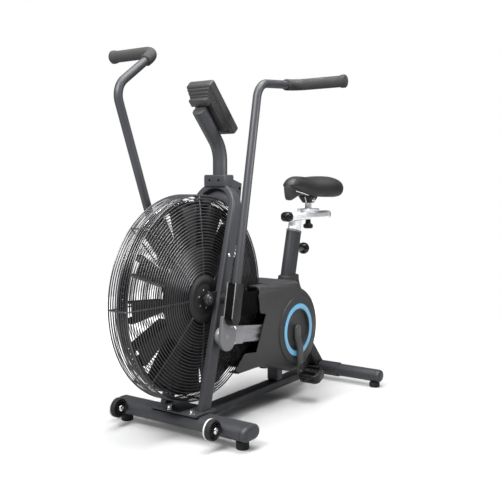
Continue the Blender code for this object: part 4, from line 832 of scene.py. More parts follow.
def makeWheel(side):
    x = wheels[side]
    place = (x, wheels["y"], wheels["z"])
    wheel = lathe(f"wheel_{side}_tread", wheels["profile"], place, (1, 0, 0), 64, closed=True)
    own(wheel, "wheel_" + side, "rubber", ("transport_wheel_" + side,))
    rib = softBox("ribSource", *wheels["rib"], 0.0005, 2)
    ribs = repeatRound(f"wheel_{side}_ribs", rib, wheels["ribs"], place, "black")
    own(ribs, "wheel_" + side, "black")
    rim = washer(f"wheel_{side}_rim", *wheels["rim"], place, (1, 0, 0))
    own(rim, "wheel_" + side, "tyre")
    high = x - wheels["armGap"]
    outline = twoCircles((bars["front"]["y"], bars["front"]["z"]), 0.020, (wheels["y"], wheels["z"]), 0.012)
    arm = slab(f"wheel_{side}_arm", outline, high - wheels["armThick"], high, 0.0012)
    own(arm, "frame", "coat")
    reach = wheels["armGap"] * 2
    axle = lathe("axleSource", [(0.0, -0.003), (wheels["axle"], -0.003), (wheels["axle"], reach),
                                (0.0, reach)],
                 (high, wheels["y"], wheels["z"]), (1, 0, 0), 24)
    head = domeHead(wheels["headRadius"], wheels["headHeight"])
    sideways = Matrix.Rotation(pi / 2, 4, "Y")
    head.data.transform(Matrix.Translation((high + reach, wheels["y"], wheels["z"])) @ sideways)
    own(merged(f"wheel_{side}_bolt", axle, head), "frame", "chrome")


makeWheel("left")
makeWheel("right")
print("floor bars, feet and wheels made")


# Base plate, beam and upright

base = {"plate": ((-0.102, -0.394, 0.0823), (0.102, -0.290, 0.0903)), "bolts": (-0.020, 0.077),
        "boltY": -0.3855, "boltRadius": 0.0070,
        "boltHeight": 0.017, "beam": ((-0.025, -0.3037, 0.028), (0.025, 0.5350, 0.062)),
        "post": ((-0.025, 0.2085, 0.0620), (0.025, 0.2475, 0.2617)), "shell": (0.0103, 0.024, -0.044, 0.044)}


def makeBase():
    own(softBox("base_sheet", *base["plate"], 0.0022), "frame", "coat", ("base_plate",))
    own(softBox("base_tube", *base["beam"], 0.007, 5), "frame", "coat", ("base_beam",))
    spots = [((x, base["boltY"], base["plate"][1][2]), (0, 0, 1)) for x in base["bolts"]]
    bolts = repeatAt("base_bolts", boltHead(base["boltRadius"], base["boltHeight"]), spots, "chrome")
    own(bolts, "frame", "chrome")
    post = softBox("upright_tube", *base["post"], 0.005, 4)
    own(post, "frame", "coat", ("bottom_bracket",))
    shell = washer("bracket_shell", *base["shell"], crankCentre, (1, 0, 0), 0.001)
    own(shell, "frame", "coat")


makeBase()


# Fork legs, arch and collar

fork = {"inner": 0.069, "outer": 0.093, "depth": 0.050, "lean": radians(14.8), "offset": 0.005,
        "archTop": 0.846, "cut": 0.0906, "corner": 0.006, "tab": (0.072, 0.080), "tabRadius": 0.022,
        "sideBolt": (-0.202, 0.603), "gussetThick": 0.006}
legTurn = (Matrix.Translation((0.0, pivotCentre.y + fork["offset"], pivotCentre.z))
           @ Matrix.Rotation(-fork["lean"], 4, "X"))


def legCentreY(z):
    return pivotCentre.y + fork["offset"] + (z - pivotCentre.z) * tan(fork["lean"])


def makeFork():
    middle = (fork["inner"] + fork["outer"]) / 2
    spring = (fork["archTop"] - pivotCentre.z) / cos(fork["lean"]) - fork["outer"]
    low = (0.05 - pivotCentre.z) / cos(fork["lean"])
    flat = [(middle, low)] + arc((0.0, spring), middle, 0.0, pi, 40) + [(-middle, low)]
    section = roundedRect((fork["outer"] - fork["inner"]) / 2, fork["depth"] / 2, fork["corner"])
    path = [legTurn @ Vector((x, 0.0, s)) for x, s in flat]
    arch = sweep("fork_arch", path, section, legTurn.to_3x3() @ Vector((0, 1, 0)))
    arch = trimPlane(arch, (0.0, 0.0, fork["cut"]), (0, 0, -1))
    own(arch, "frame", "coat", ("fork_leg_left", "fork_leg_right"))
    for side, sign in sides.items():
        ends = between(sign, *fork["tab"])
        outline = twoCircles((legCentreY(fanCentre.z), fanCentre.z), fork["tabRadius"] * 1.05,
                             (fanCentre.y, fanCentre.z), fork["tabRadius"])
        own(slab(f"axle_tab_{side}_plate", outline, *ends, 0.001), "frame", "black")
    gusset = arc((0.0, spring), fork["inner"] + 0.004, radians(18), radians(162), 24)
    gusset += arc((0.0, spring - 0.012), fork["inner"] * 0.62, radians(150), radians(30), 14)
    half = fork["gussetThick"] / 2
    lay = legTurn @ Matrix.Rotation(pi / 2, 4, "Z")
    plate = slab("fork_gusset", [(-x, s) for x, s in gusset], -half, half, 0.001, 2, lay)
    own(plate, "frame", "coat")
    y, z = fork["sideBolt"]
    spots = [((sign * fork["outer"], y, z), (sign, 0, 0)) for sign in sides.values()]
    own(repeatAt("fork_bolts", domeHead(0.0065, 0.004), spots, "chrome"), "frame", "chrome")


makeFork()

collar = {"box": ((-0.0465, -0.165, 0.834), (0.0455, -0.107, 0.8765)), "round": 0.006, "plateHalf": 0.022,
          "plate": [(-0.125, 0.866), (-0.077, 0.860), (-0.028, 0.846), (-0.028, 0.842), (-0.036, 0.784),
                    (-0.040, 0.781),
                    (-0.058, 0.790), (-0.077, 0.819), (-0.125, 0.840)],
          "holes": [(-0.020, 0.857), (0.020, 0.857)], "holeRadius": 0.0042, "bottleHole": (-0.042, 0.828),
          "bottleRadius": 0.006}


def makeCollar():
    block = softBox("collar_block", *collar["box"], collar["round"], 5)
    radius = collar["holeRadius"]
    for x, z in collar["holes"]:
        bore = lathe("collarHole", [(0.0, 0.0), (radius, 0.0), (radius, 0.02), (0.0, 0.02)],
                     (x, collar["box"][0][1] - 0.008, z), (0, 1, 0), 24)
        carve(block, bore)
    own(block, "frame", "coat", ("crown_collar",))
    half = collar["plateHalf"]
    tab = slab("bottle_tab", collar["plate"], -half, half, 0.002, 3)
    radius = collar["bottleRadius"]
    y, z = collar["bottleHole"]
    bore = lathe("bottleHole", [(0.0, -0.05), (radius, -0.05), (radius, 0.05), (0.0, 0.05)], (0.0, y, z),
                 (1, 0, 0), 24)
    own(carve(tab, bore), "frame", "coat")


makeCollar()


# Side rails with their black side panels, whose reflectionless black also paints the shade under the rails

rails = {"inner": 0.0694, "outer": 0.0926, "low": 0.398, "high": 0.456, "front": -0.236, "back": 0.238,
         "blackShadePanel": {"y": (-0.162, -0.023), "z": (0.383, 0.462), "thick": 0.0022},
         "cross": ((-0.0690, 0.198, 0.412), (0.0690, 0.2377, 0.451)),
         "neck": ((-0.011, 0.228, 0.414), (0.011, 0.277, 0.427))}


def makeRails():
    for side, sign in sides.items():
        low, high = between(sign, rails["inner"], rails["outer"])
        rail = softBox(f"rail_{side}_tube", (low, rails["front"], rails["low"]),
                       (high, rails["back"], rails["high"]), 0.005, 4)
        own(rail, "frame", "coat", ("side_rail_" + side,))
        # Black side panel on each rail: partly a real black panel, partly painted shade, as its
        # reflectionless black stands in for the shade under the rail.
        blackShadePanel = rails["blackShadePanel"]
        x = between(sign, rails["outer"], rails["outer"] + blackShadePanel["thick"])
        middle = (sum(blackShadePanel["y"]) / 2, sum(blackShadePanel["z"]) / 2)
        outline = roundedRect((blackShadePanel["y"][1] - blackShadePanel["y"][0]) / 2, (blackShadePanel["z"][1] - blackShadePanel["z"][0]) / 2, 0.006)
        outline = [(middle[0] + u, middle[1] + v) for u, v in outline]
        own(slab(f"rail_{side}_panel", outline, *x, 0.0007), "frame", "pitch")
    own(softBox("rail_cross", *rails["cross"], 0.004), "frame", "coat")
    own(softBox("rail_neck", *rails["neck"], 0.002), "frame", "coat")


makeRails()


# Seat tube and rear stay

seat = {"footY": 0.222, "footZ": 0.062, "lean": radians(13.9), "halfX": 0.0225, "halfY": 0.0375,
        "wall": 0.004, "lowZ": 0.302, "topZ": 0.655, "bore": 0.335, "band": 0.0085, "bandProud": 0.0009}
stay = {"foot": (0.568, 0.048), "lean": radians(48.5), "half": 0.025, "corner": 0.006, "length": 0.43}


def seatPoint(along, back=0.0, x=0.0):
    y = seat["footY"] + along * sin(seat["lean"]) + back * cos(seat["lean"])
    return Vector((x, y, seat["footZ"] + along * cos(seat["lean"]) - back * sin(seat["lean"])))


def seatLength(z):
    return (z - seat["footZ"]) / cos(seat["lean"])


def seatRing(along, grow):
    return [seatPoint(along, u, v) for u, v in obround(seat["halfY"] + grow, seat["halfX"] + grow, 18)]


def makeSeatTube():
    top = seatLength(seat["topZ"])
    low = seatLength(seat["lowZ"])
    lip = top - seat["band"]
    proud = seat["bandProud"]
    wall = seat["wall"]
    levels = ((low, 0.0), (lip - 0.0022, 0.0), (lip - 0.0018, -0.001))
    tube = loft("seat_tube_shell", [seatRing(along, grow) for along, grow in levels])
    own(tube, "frame", "coat", ("seat_tube",))
    line = loft("seat_tube_line", [seatRing(along, -0.0009) for along in (lip - 0.004, lip + 0.001)])
    own(line, "frame", "black")
    levels = [(lip, -0.001), (lip + 0.0004, proud), (top - 0.0010, proud), (top, 0.0), (top, 0.001 - wall),
              (top - 0.001, -wall), (top - seat["bore"], -wall)]
    band = loft("seat_tube_band", [seatRing(along, grow) for along, grow in levels])
    own(band, "frame", "band")


def makeStay():
    y, z = stay["foot"]
    heading = Vector((0.0, -cos(stay["lean"]), sin(stay["lean"])))
    start = Vector((0.0, y, z))
    section = roundedRect(stay["half"], stay["half"], stay["corner"])
    bar = sweep("rear_stay_tube", [start, start + heading * stay["length"] * 0.5,
                                   start + heading * stay["length"]],
                section, (0, 0, 1))
    inward = seatPoint(0.3, -1.0) - seatPoint(0.3)
    bar = trimPlane(bar, seatPoint(0.3, seat["halfY"] - 0.002), inward)
    # The stay takes the dark rotor finish, darker than the frame's powder coat: painted shade for the shadow
    # it sits in behind the cover.
    own(bar, "frame", "rotor", ("rear_stay",))


makeSeatTube()
makeStay()

boot = {"topZ": 0.474, "footZ": 0.384, "top": (0.031, 0.047, 0.056), "foot": (0.046, 0.050, 0.116),
        "bow": 1.7, "lip": 0.0025}


def bootRing(share, inset):
    z = boot["topZ"] + (boot["footZ"] - boot["topZ"]) * share
    spread = share ** boot["bow"]
    half, front, back = [a + (b - a) * spread - inset for a, b in zip(boot["top"], boot["foot"])]
    middle = seat["footY"] + (z - seat["footZ"]) * tan(seat["lean"]) + (back - front) / 2
    return [(v, middle + u, z) for u, v in obround((front + back) / 2, half, 18)]


def makeBoot():
    levels = [(0.0, 0.0075), (0.0, boot["lip"]), (0.01, 0.0008), (0.035, 0.0)]
    levels += [(0.1 + 0.9 * step / 14, 0.0) for step in range(15)]
    shell = loft("boot_shell", [bootRing(share, inset) for share, inset in levels])
    own(shell, "frame", "cover", ("seat_boot",))


makeBoot()
print("fork, rails and seat frame made")


# Console mast and console

console = {"place": (0.0, -0.1572, 1.1175), "tilt": radians(42.2), "half": 0.0535, "halfLength": 0.106,
           "thick": 0.035,
           "steps": ((0.047, -0.092, 0.0975, 0.007), (0.0435, -0.0743, 0.0880, 0.0135),
                     (0.040, -0.0743, 0.0780, 0.0195),
                     (0.0385, 0.0450, 0.0725, 0.034)),
           "screenMargin": 0.011, "screenLength": 0.112, "screenThick": 0.002, "buttonRadius": 0.009,
           "buttonPitch": 0.029,
           "buttonAlong": -0.075, "buttonProud": 0.003, "buttonTravel": 0.0015, "mastRadius": 0.0255,
           "mastY": -0.129, "mastFoot": 0.8763, "mastBend": 0.110, "mastEnd": 0.038, "mastDrop": 0.0195}
consoleTurn = Matrix.Translation(console["place"]) @ Matrix.Rotation(console["tilt"], 4, "X")


def consolePoint(x, along, out):
    return consoleTurn @ Vector((x, out, along))


def makeMast():
    out = -console["thick"] - console["mastDrop"] - console["mastRadius"] - gap
    tip = consolePoint(0.0, console["mastEnd"], out)
    slope = tip - consolePoint(0.0, console["mastEnd"] - 1.0, out)
    corner = tip + slope * ((console["mastY"] - tip.y) / slope.y)
    path = rounded([Vector((0.0, console["mastY"], console["mastFoot"])), corner, tip], [console["mastBend"]],
                   24)
    tube = sweep("mast_tube", path, circle(console["mastRadius"], 48), (1, 0, 0))
    own(tube, "frame", "coat", ("console_mast",))
    radius = console["mastRadius"]
    face = [(0.0, 0.0), (radius - 0.0004, 0.0), (radius - 0.0004, 0.0024), (radius - 0.0022, 0.0040),
            (0.0, 0.0044)]
    own(lathe("mast_cap", face, tip, slope, 48), "frame", "cover")


def makeConsole():
    half = console["half"]
    length = console["halfLength"]
    back = -console["thick"]
    body = softBox("console_case", (-half, back, -length), (half, 0.0, length), 0.009, 5, consoleTurn)
    screenHigh = length - console["screenMargin"]
    screenLow = screenHigh - console["screenLength"]
    screenHalf = half - console["screenMargin"]
    room = softBox("screenRoom", (-screenHalf - gap, -console["screenThick"] - gap, screenLow - gap),
                   (screenHalf + gap, 0.01, screenHigh + gap), 0.0005, 2, consoleTurn)
    carve(body, room)
    seatDepth = console["buttonTravel"] + console["buttonProud"]
    outward = consolePoint(0, 0, 1) - consolePoint(0, 0, 0)
    radius = console["buttonRadius"]
    for index in range(3):
        x = console["buttonPitch"] * (index - 1)
        well = lathe("buttonWell", [(0.0, -seatDepth), (radius + gap, -seatDepth), (radius + gap, 0.0),
                                    (radius + 0.001, 0.0008),
                                    (radius + 0.001, seatDepth), (0.0, seatDepth)],
                     consolePoint(x, console["buttonAlong"], 0.0), outward, 40)
        carve(body, well)
        low = console["buttonTravel"] + gap - seatDepth
        high = console["buttonProud"]
        dome = [(0.0, low), (radius, low), (radius, high - 0.0022), (radius - 0.0006, high - 0.0010),
                (radius - 0.002, high - 0.0003), (radius * 0.5, high - 0.0006), (0.0, high - 0.0009)]
        button = lathe(f"button_{index + 1}_dome", dome, consolePoint(x, console["buttonAlong"], 0.0),
                       outward, 40)
        own(button, f"button_{index + 1}", "rubber", (f"console_button_{index + 1}",))
    own(body, "frame", "cover", ("console_body",))
    screen = softBox("console_window", (-screenHalf, -console["screenThick"], screenLow),
                     (screenHalf, 0.0, screenHigh), 0.0006, 2, consoleTurn)
    own(screen, "frame", "glass", ("console_screen",))
    for index, (wide, low, high, drop) in enumerate(console["steps"]):
        step = softBox(f"console_step_{index + 1}", (-wide, back - drop, low), (wide, back + 0.002, high),
                       0.0035, 3, consoleTurn)
        own(step, "frame", "cover")


makeMast()
makeConsole()
print("console and mast made")


# Seat post, slider and its knobs

slider = {"front": 0.290, "back": 0.645, "low": 0.6945, "high": 0.7275, "half": 0.020, "corner": 0.0125,
          "capFront": 0.036, "capBack": 0.012, "stemY": 0.481, "slotHalf": 0.0065, "slot": (0.436, 0.591),
          "nose": ((1.03, -0.0008), (1.0, 0.0022), (0.8, 0.0034), (0.6, 0.0036), (0.42, 0.0026),
                   (0.26, 0.0002),
                   (0.13, -0.0038), (0.05, -0.0078), (0.0, -0.0115)),
          "tail": ((1.08, -0.0008), (1.0, 0.0), (0.5, 0.0), (0.2, -0.0012), (0.0, -0.0045))}


def sliderRing(y, grow):
    middle = (slider["low"] + slider["high"]) / 2
    half = (slider["high"] - slider["low"]) / 2
    outline = roundedRect(slider["half"] + grow, half + grow, slider["corner"] + grow, 8)
    return [(u, y, middle + v) for u, v in outline]


def makeSlider():
    start = slider["front"] + slider["capFront"]
    end = slider["back"] - slider["capBack"]
    bar = loft("slider_bar", [sliderRing(y, 0.0) for y in (start - 0.004, start, end, end + 0.004)])
    half = slider["slotHalf"]
    slot = softBox("sliderSlot", (-half, slider["slot"][0] - half, slider["low"] - 0.1),
                   (half, slider["slot"][1] + half, slider["high"] + 0.1), 0.006, 4)
    own(carve(bar, slot), "seat_post", "bright", ("slider_rail",))
    nose = [sliderRing(slider["front"] + share * slider["capFront"], grow) for share, grow in slider["nose"]]
    own(loft("slider_nose", nose), "seat_post", "gloss")
    tail = [sliderRing(slider["back"] - share * slider["capBack"], grow) for share, grow in slider["tail"]]
    own(loft("slider_tail", tail), "seat_post", "gloss")


def makeStem():
    low = slider["high"] + gap
    y = slider["stemY"]
    carriage = softBox("saddle_carriage", (-0.030, y - 0.045, low), (0.030, y + 0.045, low + 0.012), 0.004, 4)
    own(carriage, "saddle", "bright", ("saddle_stem",))
    column = lathe("saddle_column", [(0.0, 0.0), (0.0155, 0.0), (0.0155, 0.002), (0.0135, 0.004),
                                     (0.0135, 0.030), (0.0, 0.030)],
                   (0.0, y, low + 0.0115), (0, 0, 1), 40)
    own(column, "saddle", "bright")

    def ring(z, halfX, halfY):
        return [(u, y + v, z) for u, v in roundedRect(halfX, halfY, 0.006)]

    levels = ((0.764, 0.018, 0.017), (0.7655, 0.020, 0.019), (0.784, 0.029, 0.029), (0.7905, 0.0305, 0.0305),
              (0.792, 0.029, 0.029))
    own(loft("saddle_clamp", [ring(*level) for level in levels]), "saddle", "black")
    path = [Vector((0.004, y - 0.0200, 0.7665)), Vector((0.004, y - 0.0312, 0.7905))]
    own(sweep("saddle_strip", path, roundedRect(0.0045, 0.0012, 0.0008), (1, 0, 0)), "saddle", "bright")
    spots = [((sign * 0.0245, y, 0.776), (sign, 0, -0.4)) for sign in (1, -1)]
    own(repeatAt("saddle_bolts", boltHead(0.0060, 0.006), spots, "chrome"), "saddle", "chrome")


makeSlider()
makeStem()

knobs = {"slider": {"radius": 0.020, "height": 0.038, "ribs": 18, "bolt": 0.005, "boltHigh": 0.032,
                    "shape": ((0.50, 0.0), (0.53, 0.05), (0.57, 0.40), (0.70, 0.47), (0.93, 0.55),
                              (1.0, 0.66), (1.0, 0.86),
                              (0.92, 0.95), (0.75, 1.0), (0.0, 1.0))},
         "pin": {"along": 0.551, "radius": 0.0245, "neck": 0.032, "length": 0.046, "bolt": 0.005,
                 "neckShare": 0.66, "turns": 16, "start": 2.2}}


def makeKnobs():
    spec = knobs["slider"]
    under = slider["low"] - gap
    r = spec["radius"]
    h = spec["height"]
    profile = [(0.0, spec["boltHigh"]), (spec["bolt"], spec["boltHigh"]), (spec["bolt"], 0.0)]
    profile += [(r * out, -h * down) for out, down in spec["shape"]]
    place = (0.0, slider["stemY"], under)
    knob = lathe("slider_knob_body", profile, place, (0, 0, 1), 56)
    own(knob, "slider_knob", "black", ("slider_knob",))
    rib = softBox("ribSource", (-h * 0.90, -0.0011, r * 0.93), (-h * 0.58, 0.0011, r * 1.02), 0.0005, 2)
    ribs = repeatRound("slider_knob_ribs", rib, spec["ribs"], place, "black", axis=(0, 0, 1))
    own(ribs, "slider_knob", "black")

    spec = knobs["pin"]
    outward = seatPoint(0.0, 1.0) - seatPoint(0.0)
    tip = seat["halfY"] - seat["wall"] + gap
    face = seat["halfY"] + gap
    middle = face + spec["neck"] + spec["length"] / 2
    r = spec["radius"]
    neck = r * spec["neckShare"]
    profile = []
    for step in range(spec["turns"] + 1):
        turn = spec["start"] * step / spec["turns"]
        profile.append((r * sin(turn), middle + spec["length"] / 2 * cos(turn)))
    edge = profile[-1][1]
    profile += [(neck * 1.06, edge - 0.002), (neck * 1.06, edge - 0.008), (neck, edge - 0.009),
                (neck, face + 0.001),
                (neck - 0.001, face), (spec["bolt"], face), (spec["bolt"], tip), (0.0, tip)]
    pin = lathe("pin_knob_body", profile, seatPoint(spec["along"]), outward, 56)
    own(pin, "pin_knob", "gloss", ("pin_knob",))


makeKnobs()

# Saddle: a stuffed vinyl pad, swelled by a short cloth run

saddle = {"nose": 0.306, "tail": 0.624, "half": 0.120, "top": 0.874, "base": 0.792, "voxel": 0.005,
          "pressure": 4.0, "cap": 0.004, "frames": 20,
          "stations": ((0.000, 0.15, 0.40, 0.10, 0.52, 0.54), (0.060, 0.29, 0.10, 0.30, 0.53, 0.55),
                       (0.200, 0.35, 0.01, 0.38, 0.60, 0.61), (0.360, 0.44, 0.05, 0.44, 0.84, 0.85),
                       (0.520, 0.66, 0.08, 0.46, 0.98, 0.99), (0.680, 0.91, 0.03, 0.48, 1.05, 0.98),
                       (0.820, 1.00, 0.00, 0.50, 1.12, 0.96), (0.940, 0.93, 0.05, 0.50, 1.06, 0.92),
                       (1.000, 0.68, 0.29, 0.40, 0.66, 0.64)),
          "pan": ((0.3085, 0.006, 0.834, 0.806), (0.311, 0.014, 0.837, 0.790), (0.318, 0.020, 0.838, 0.779),
                  (0.332, 0.025, 0.838, 0.7765), (0.350, 0.028, 0.836, 0.782), (0.372, 0.030, 0.834, 0.791),
                  (0.395, 0.030, 0.832, 0.801), (0.412, 0.027, 0.830, 0.810), (0.416, 0.020, 0.828, 0.815)),
          "rail": ((0.021, 0.345, 0.816), (0.023, 0.400, 0.8065), (0.023, 0.440, 0.797),
                   (0.021, 0.520, 0.796)),
          "railRadius": 0.0034}


def saddleRings():
    depth = saddle["top"] - saddle["base"]
    length = saddle["tail"] - saddle["nose"]
    rings = []
    for share, width, fall, side, hem, dip in saddle["stations"]:
        half = width * saddle["half"]
        falls = ((0.0, fall), (0.5, fall + 0.04), (0.84, fall + 0.17), (1.0, fall + side), (0.88, hem),
                 (0.5, dip), (0.0, dip))
        right = [(half * out, saddle["top"] - depth * down) for out, down in falls]
        outline = right + [(-x, z) for x, z in reversed(right[1:-1])]
        rings.append([(x, saddle["nose"] + share * length, z) for x, z in outline])
    return rings


def swell(obj):
    remesh = obj.modifiers.new("even", "REMESH")
    remesh.mode = "VOXEL"
    remesh.voxel_size = saddle["voxel"]
    baked(obj)
    start = [vert.co.copy() for vert in obj.data.vertices]
    cloth = obj.modifiers.new("stuffing", "CLOTH")
    cloth.settings.use_pressure = True
    cloth.settings.uniform_pressure_force = saddle["pressure"]
    cloth.settings.effector_weights.gravity = 0.0
    cloth.collision_settings.use_collision = False
    cloth.point_cache.frame_start = 1
    cloth.point_cache.frame_end = saddle["frames"]
    for step in range(1, saddle["frames"] + 1):
        bpy.context.scene.frame_set(step)
    baked(obj)
    bpy.context.scene.frame_set(1)
    for vert, before in zip(obj.data.vertices, start):
        move = vert.co - before
        if move.length > saddle["cap"]:
            vert.co = before + move * (saddle["cap"] / move.length)


def makeSaddle():
    pad = loft("saddle_pad", saddleRings())
    smooth = pad.modifiers.new("soft", "SUBSURF")
    smooth.levels = 3
    smooth.render_levels = 3
    baked(pad)
    swell(pad)
    room = softBox("clampRoom", (-0.033, slider["stemY"] - 0.033, 0.714),
                   (0.033, slider["stemY"] + 0.033, saddle["base"] + gap), 0.002)
    carve(pad, room)
    own(pad, "saddle", "vinyl", ("saddle",), 60.0)
    rings = []
    for y, half, high, low in saddle["pan"]:
        middle = (high + low) / 2
        tall = (high - low) / 2
        section = roundedRect(1.0, 1.0, 0.55, 6)
        rings.append([(half * u * (0.8 + 0.2 * v), y, middle + tall * v) for u, v in section])
    own(loft("saddle_pan", rings), "saddle", "cover")
    for side, sign in sides.items():
        path = [Vector((sign * x, y, z)) for x, y, z in saddle["rail"]]
        rail = sweep(f"saddle_rail_{side}", path, circle(saddle["railRadius"], 12), (sign, 0, 0))
        own(rail, "saddle", "chrome")


makeSaddle()
print("seat made")


# Fan guard

guard = {"rim": 0.3475, "rimWire": 0.0024, "half": 0.042, "hub": 0.082, "rings": 25, "ringWire": 0.0015,
         "bulge": 1.6,
         "shadeArc": (0.3425, 0.3445, 0.0035, 0.0385), "shadeArcFrom": radians(32.0), "shadeArcTo": radians(122.0),
         "spokes": 8, "spokeWire": 0.0026, "hoops": 3, "hoopWire": 0.0014, "hoopSpan": (0.0120, 0.0310),
         "screws": 6, "left": {"dome": 0.058, "face": 0.063, "bore": 0.0083},
         "right": {"dome": 0.0435, "face": 0.04525, "bore": 0.0175},
         "shape": ((0.040, 0.50), (0.0465, 0.46), (0.0500, 0.36), (0.0520, 0.42), (0.0570, 0.84),
                   (0.0625, 1.0),
                   (0.0680, 0.97), (0.0740, 0.78), (0.0790, 0.46), (0.0816, 0.18), (0.0820, 0.0))}


def guardDepth(radius, dome):
    share = max(radius - guard["hub"], 0.0) / (guard["rim"] - guard["hub"])
    return dome + (guard["half"] - guard["rimWire"] - dome) * share ** guard["bulge"]


def wire(name, values):
    plain = {"rings": 1, "innerRadius": guard["rim"], "outerRadius": guard["rim"], "faceX": 0.0, "edgeX": 0.0,
             "bulge": 1.0, "wireRadius": guard["rimWire"], "centre": tuple(fanCentre),
             "finish": finishes["wire"]}
    return wireRings.bake(name, {**plain, **values})


def makeGuard(side):
    sign = sides[side]
    spec = guard[side]
    rim = guard["rim"]
    edge = guard["half"] - guard["rimWire"]
    pitch = (rim - guard["hub"]) / (guard["rings"] + 1)
    ends = [sign * guardDepth(radius, spec["dome"]) for radius in (guard["hub"] + pitch, rim - pitch)]
    cage = wire(f"guard_{side}_rings", {"rings": guard["rings"], "innerRadius": guard["hub"] + pitch,
                                        "outerRadius": rim - pitch, "faceX": ends[0], "edgeX": ends[1],
                                        "bulge": guard["bulge"], "wireRadius": guard["ringWire"]})
    own(cage, "frame", "wire", ("fan_guard_" + side,))
    own(wire(f"guard_{side}_rim", {"faceX": sign * edge, "edgeX": sign * edge}), "frame", "wire")
    seam = sign * (guard["rimWire"] + gap)
    own(wire(f"guard_{side}_seam", {"faceX": seam, "edgeX": seam}), "frame", "wire")
    low, high = guard["hoopSpan"]
    hoops = wire(f"guard_{side}_hoops", {"rings": guard["hoops"], "faceX": sign * low, "edgeX": sign * high,
                                         "wireRadius": guard["hoopWire"]})
    own(hoops, "frame", "wire")
    # A dark arc of sheet inside the rim on each side: painted shade over the rear part of the rim.
    inner, outer, low, high = guard["shadeArc"]
    middle = fanCentre[1:]
    start, end = pi / 2 - guard["shadeArcFrom"], pi / 2 - guard["shadeArcTo"]
    outline = arc(middle, outer, start, end, 48) + arc(middle, inner, end, start, 48)
    shadeArc = slab(f"guard_{side}_shield", outline, *between(sign, low, high), 0.0006, 2)
    own(shadeArc, "frame", "pitch")
    under = guard["ringWire"] + guard["spokeWire"] * 0.7
    start = guard["hub"] * 0.93
    radii = [start + (rim - guard["rimWire"] - start) * step / 10 for step in range(11)]
    path = [(sign * (guardDepth(radius, spec["dome"]) - under), 0.0, radius) for radius in radii]
    path += [(sign * (edge - 0.006), 0.0, rim - 0.001), (sign * edge * 0.5, 0.0, rim),
             (sign * 0.0045, 0.0, rim)]
    spoke = sweep("spokeSource", path, circle(guard["spokeWire"], 10), (0, 1, 0))
    spokes = repeatRound(f"guard_{side}_spokes", spoke, guard["spokes"], fanCentre, "wire")
    own(spokes, "frame", "wire")
    back = spec["dome"] - guard["rimWire"] * 1.5
    deep = spec["face"] - back
    profile = [(spec["bore"], back + deep * 0.5)]
    profile += [(radius, back + deep * share) for radius, share in guard["shape"]]
    hub = lathe(f"guard_{side}_hub", profile + [(spec["bore"], back)], fanCentre, (sign, 0, 0), 96,
                closed=True)
    own(hub, "frame", "rotor")
    screw = domeHead(0.0032, 0.0022)
    sideways = Matrix.Rotation(pi / 2, 4, "Y")
    screw.data.transform(Matrix.Translation((back + deep * 0.49, 0.0, 0.031)) @ sideways)
    screws = repeatRound(f"guard_{side}_screws", screw, guard["screws"], fanCentre, "zinc", radians(12),
                         (sign, 0, 0))
    own(screws, "frame", "zinc")


makeGuard("left")
makeGuard("right")

rotor = {"blades": 13, "phase": radians(15.3), "spread": radians(11.9), "root": 0.140, "tip": 0.318,
         "wall": 0.003, "low": -0.030, "high": 0.0315, "tipRing": (0.309, 0.327, -0.002, 0.002),
         "band": (0.3245, 0.3268, -0.019, 0.019),
         "bandEdge": (0.3250, 0.3273, -0.0215, -0.0191), "rivets": 104, "rivet": (0.0024, 0.0012),
         "sleeveEnd": -0.059, "bore": 0.0083,
         "hub": ((0.020, 0.032), (0.024, 0.036), (0.045, 0.036), (0.048, 0.0325), (0.172, 0.0325),
                 (0.175, 0.0310),
                 (0.175, 0.0285), (0.173, 0.0280), (0.048, 0.0280), (0.048, -0.027), (0.045, -0.030),
                 (0.016, -0.030)),
         "axle": 0.008, "axleHalf": 0.0885, "nutRadius": 0.0125, "nutHeight": 0.008, "nutX": 0.0803}


def bladeSheet(nearSide, nearInset, farSide, farInset):
    outline = []
    for radius, side, inset in ((rotor["root"], nearSide, nearInset), (rotor["tip"], nearSide, nearInset),
                                (rotor["tip"], farSide, farInset), (rotor["root"], farSide, farInset)):
        turn = side * (rotor["spread"] / 2 - inset / radius)
        outline.append((radius * cos(turn), radius * sin(turn)))
    return outline


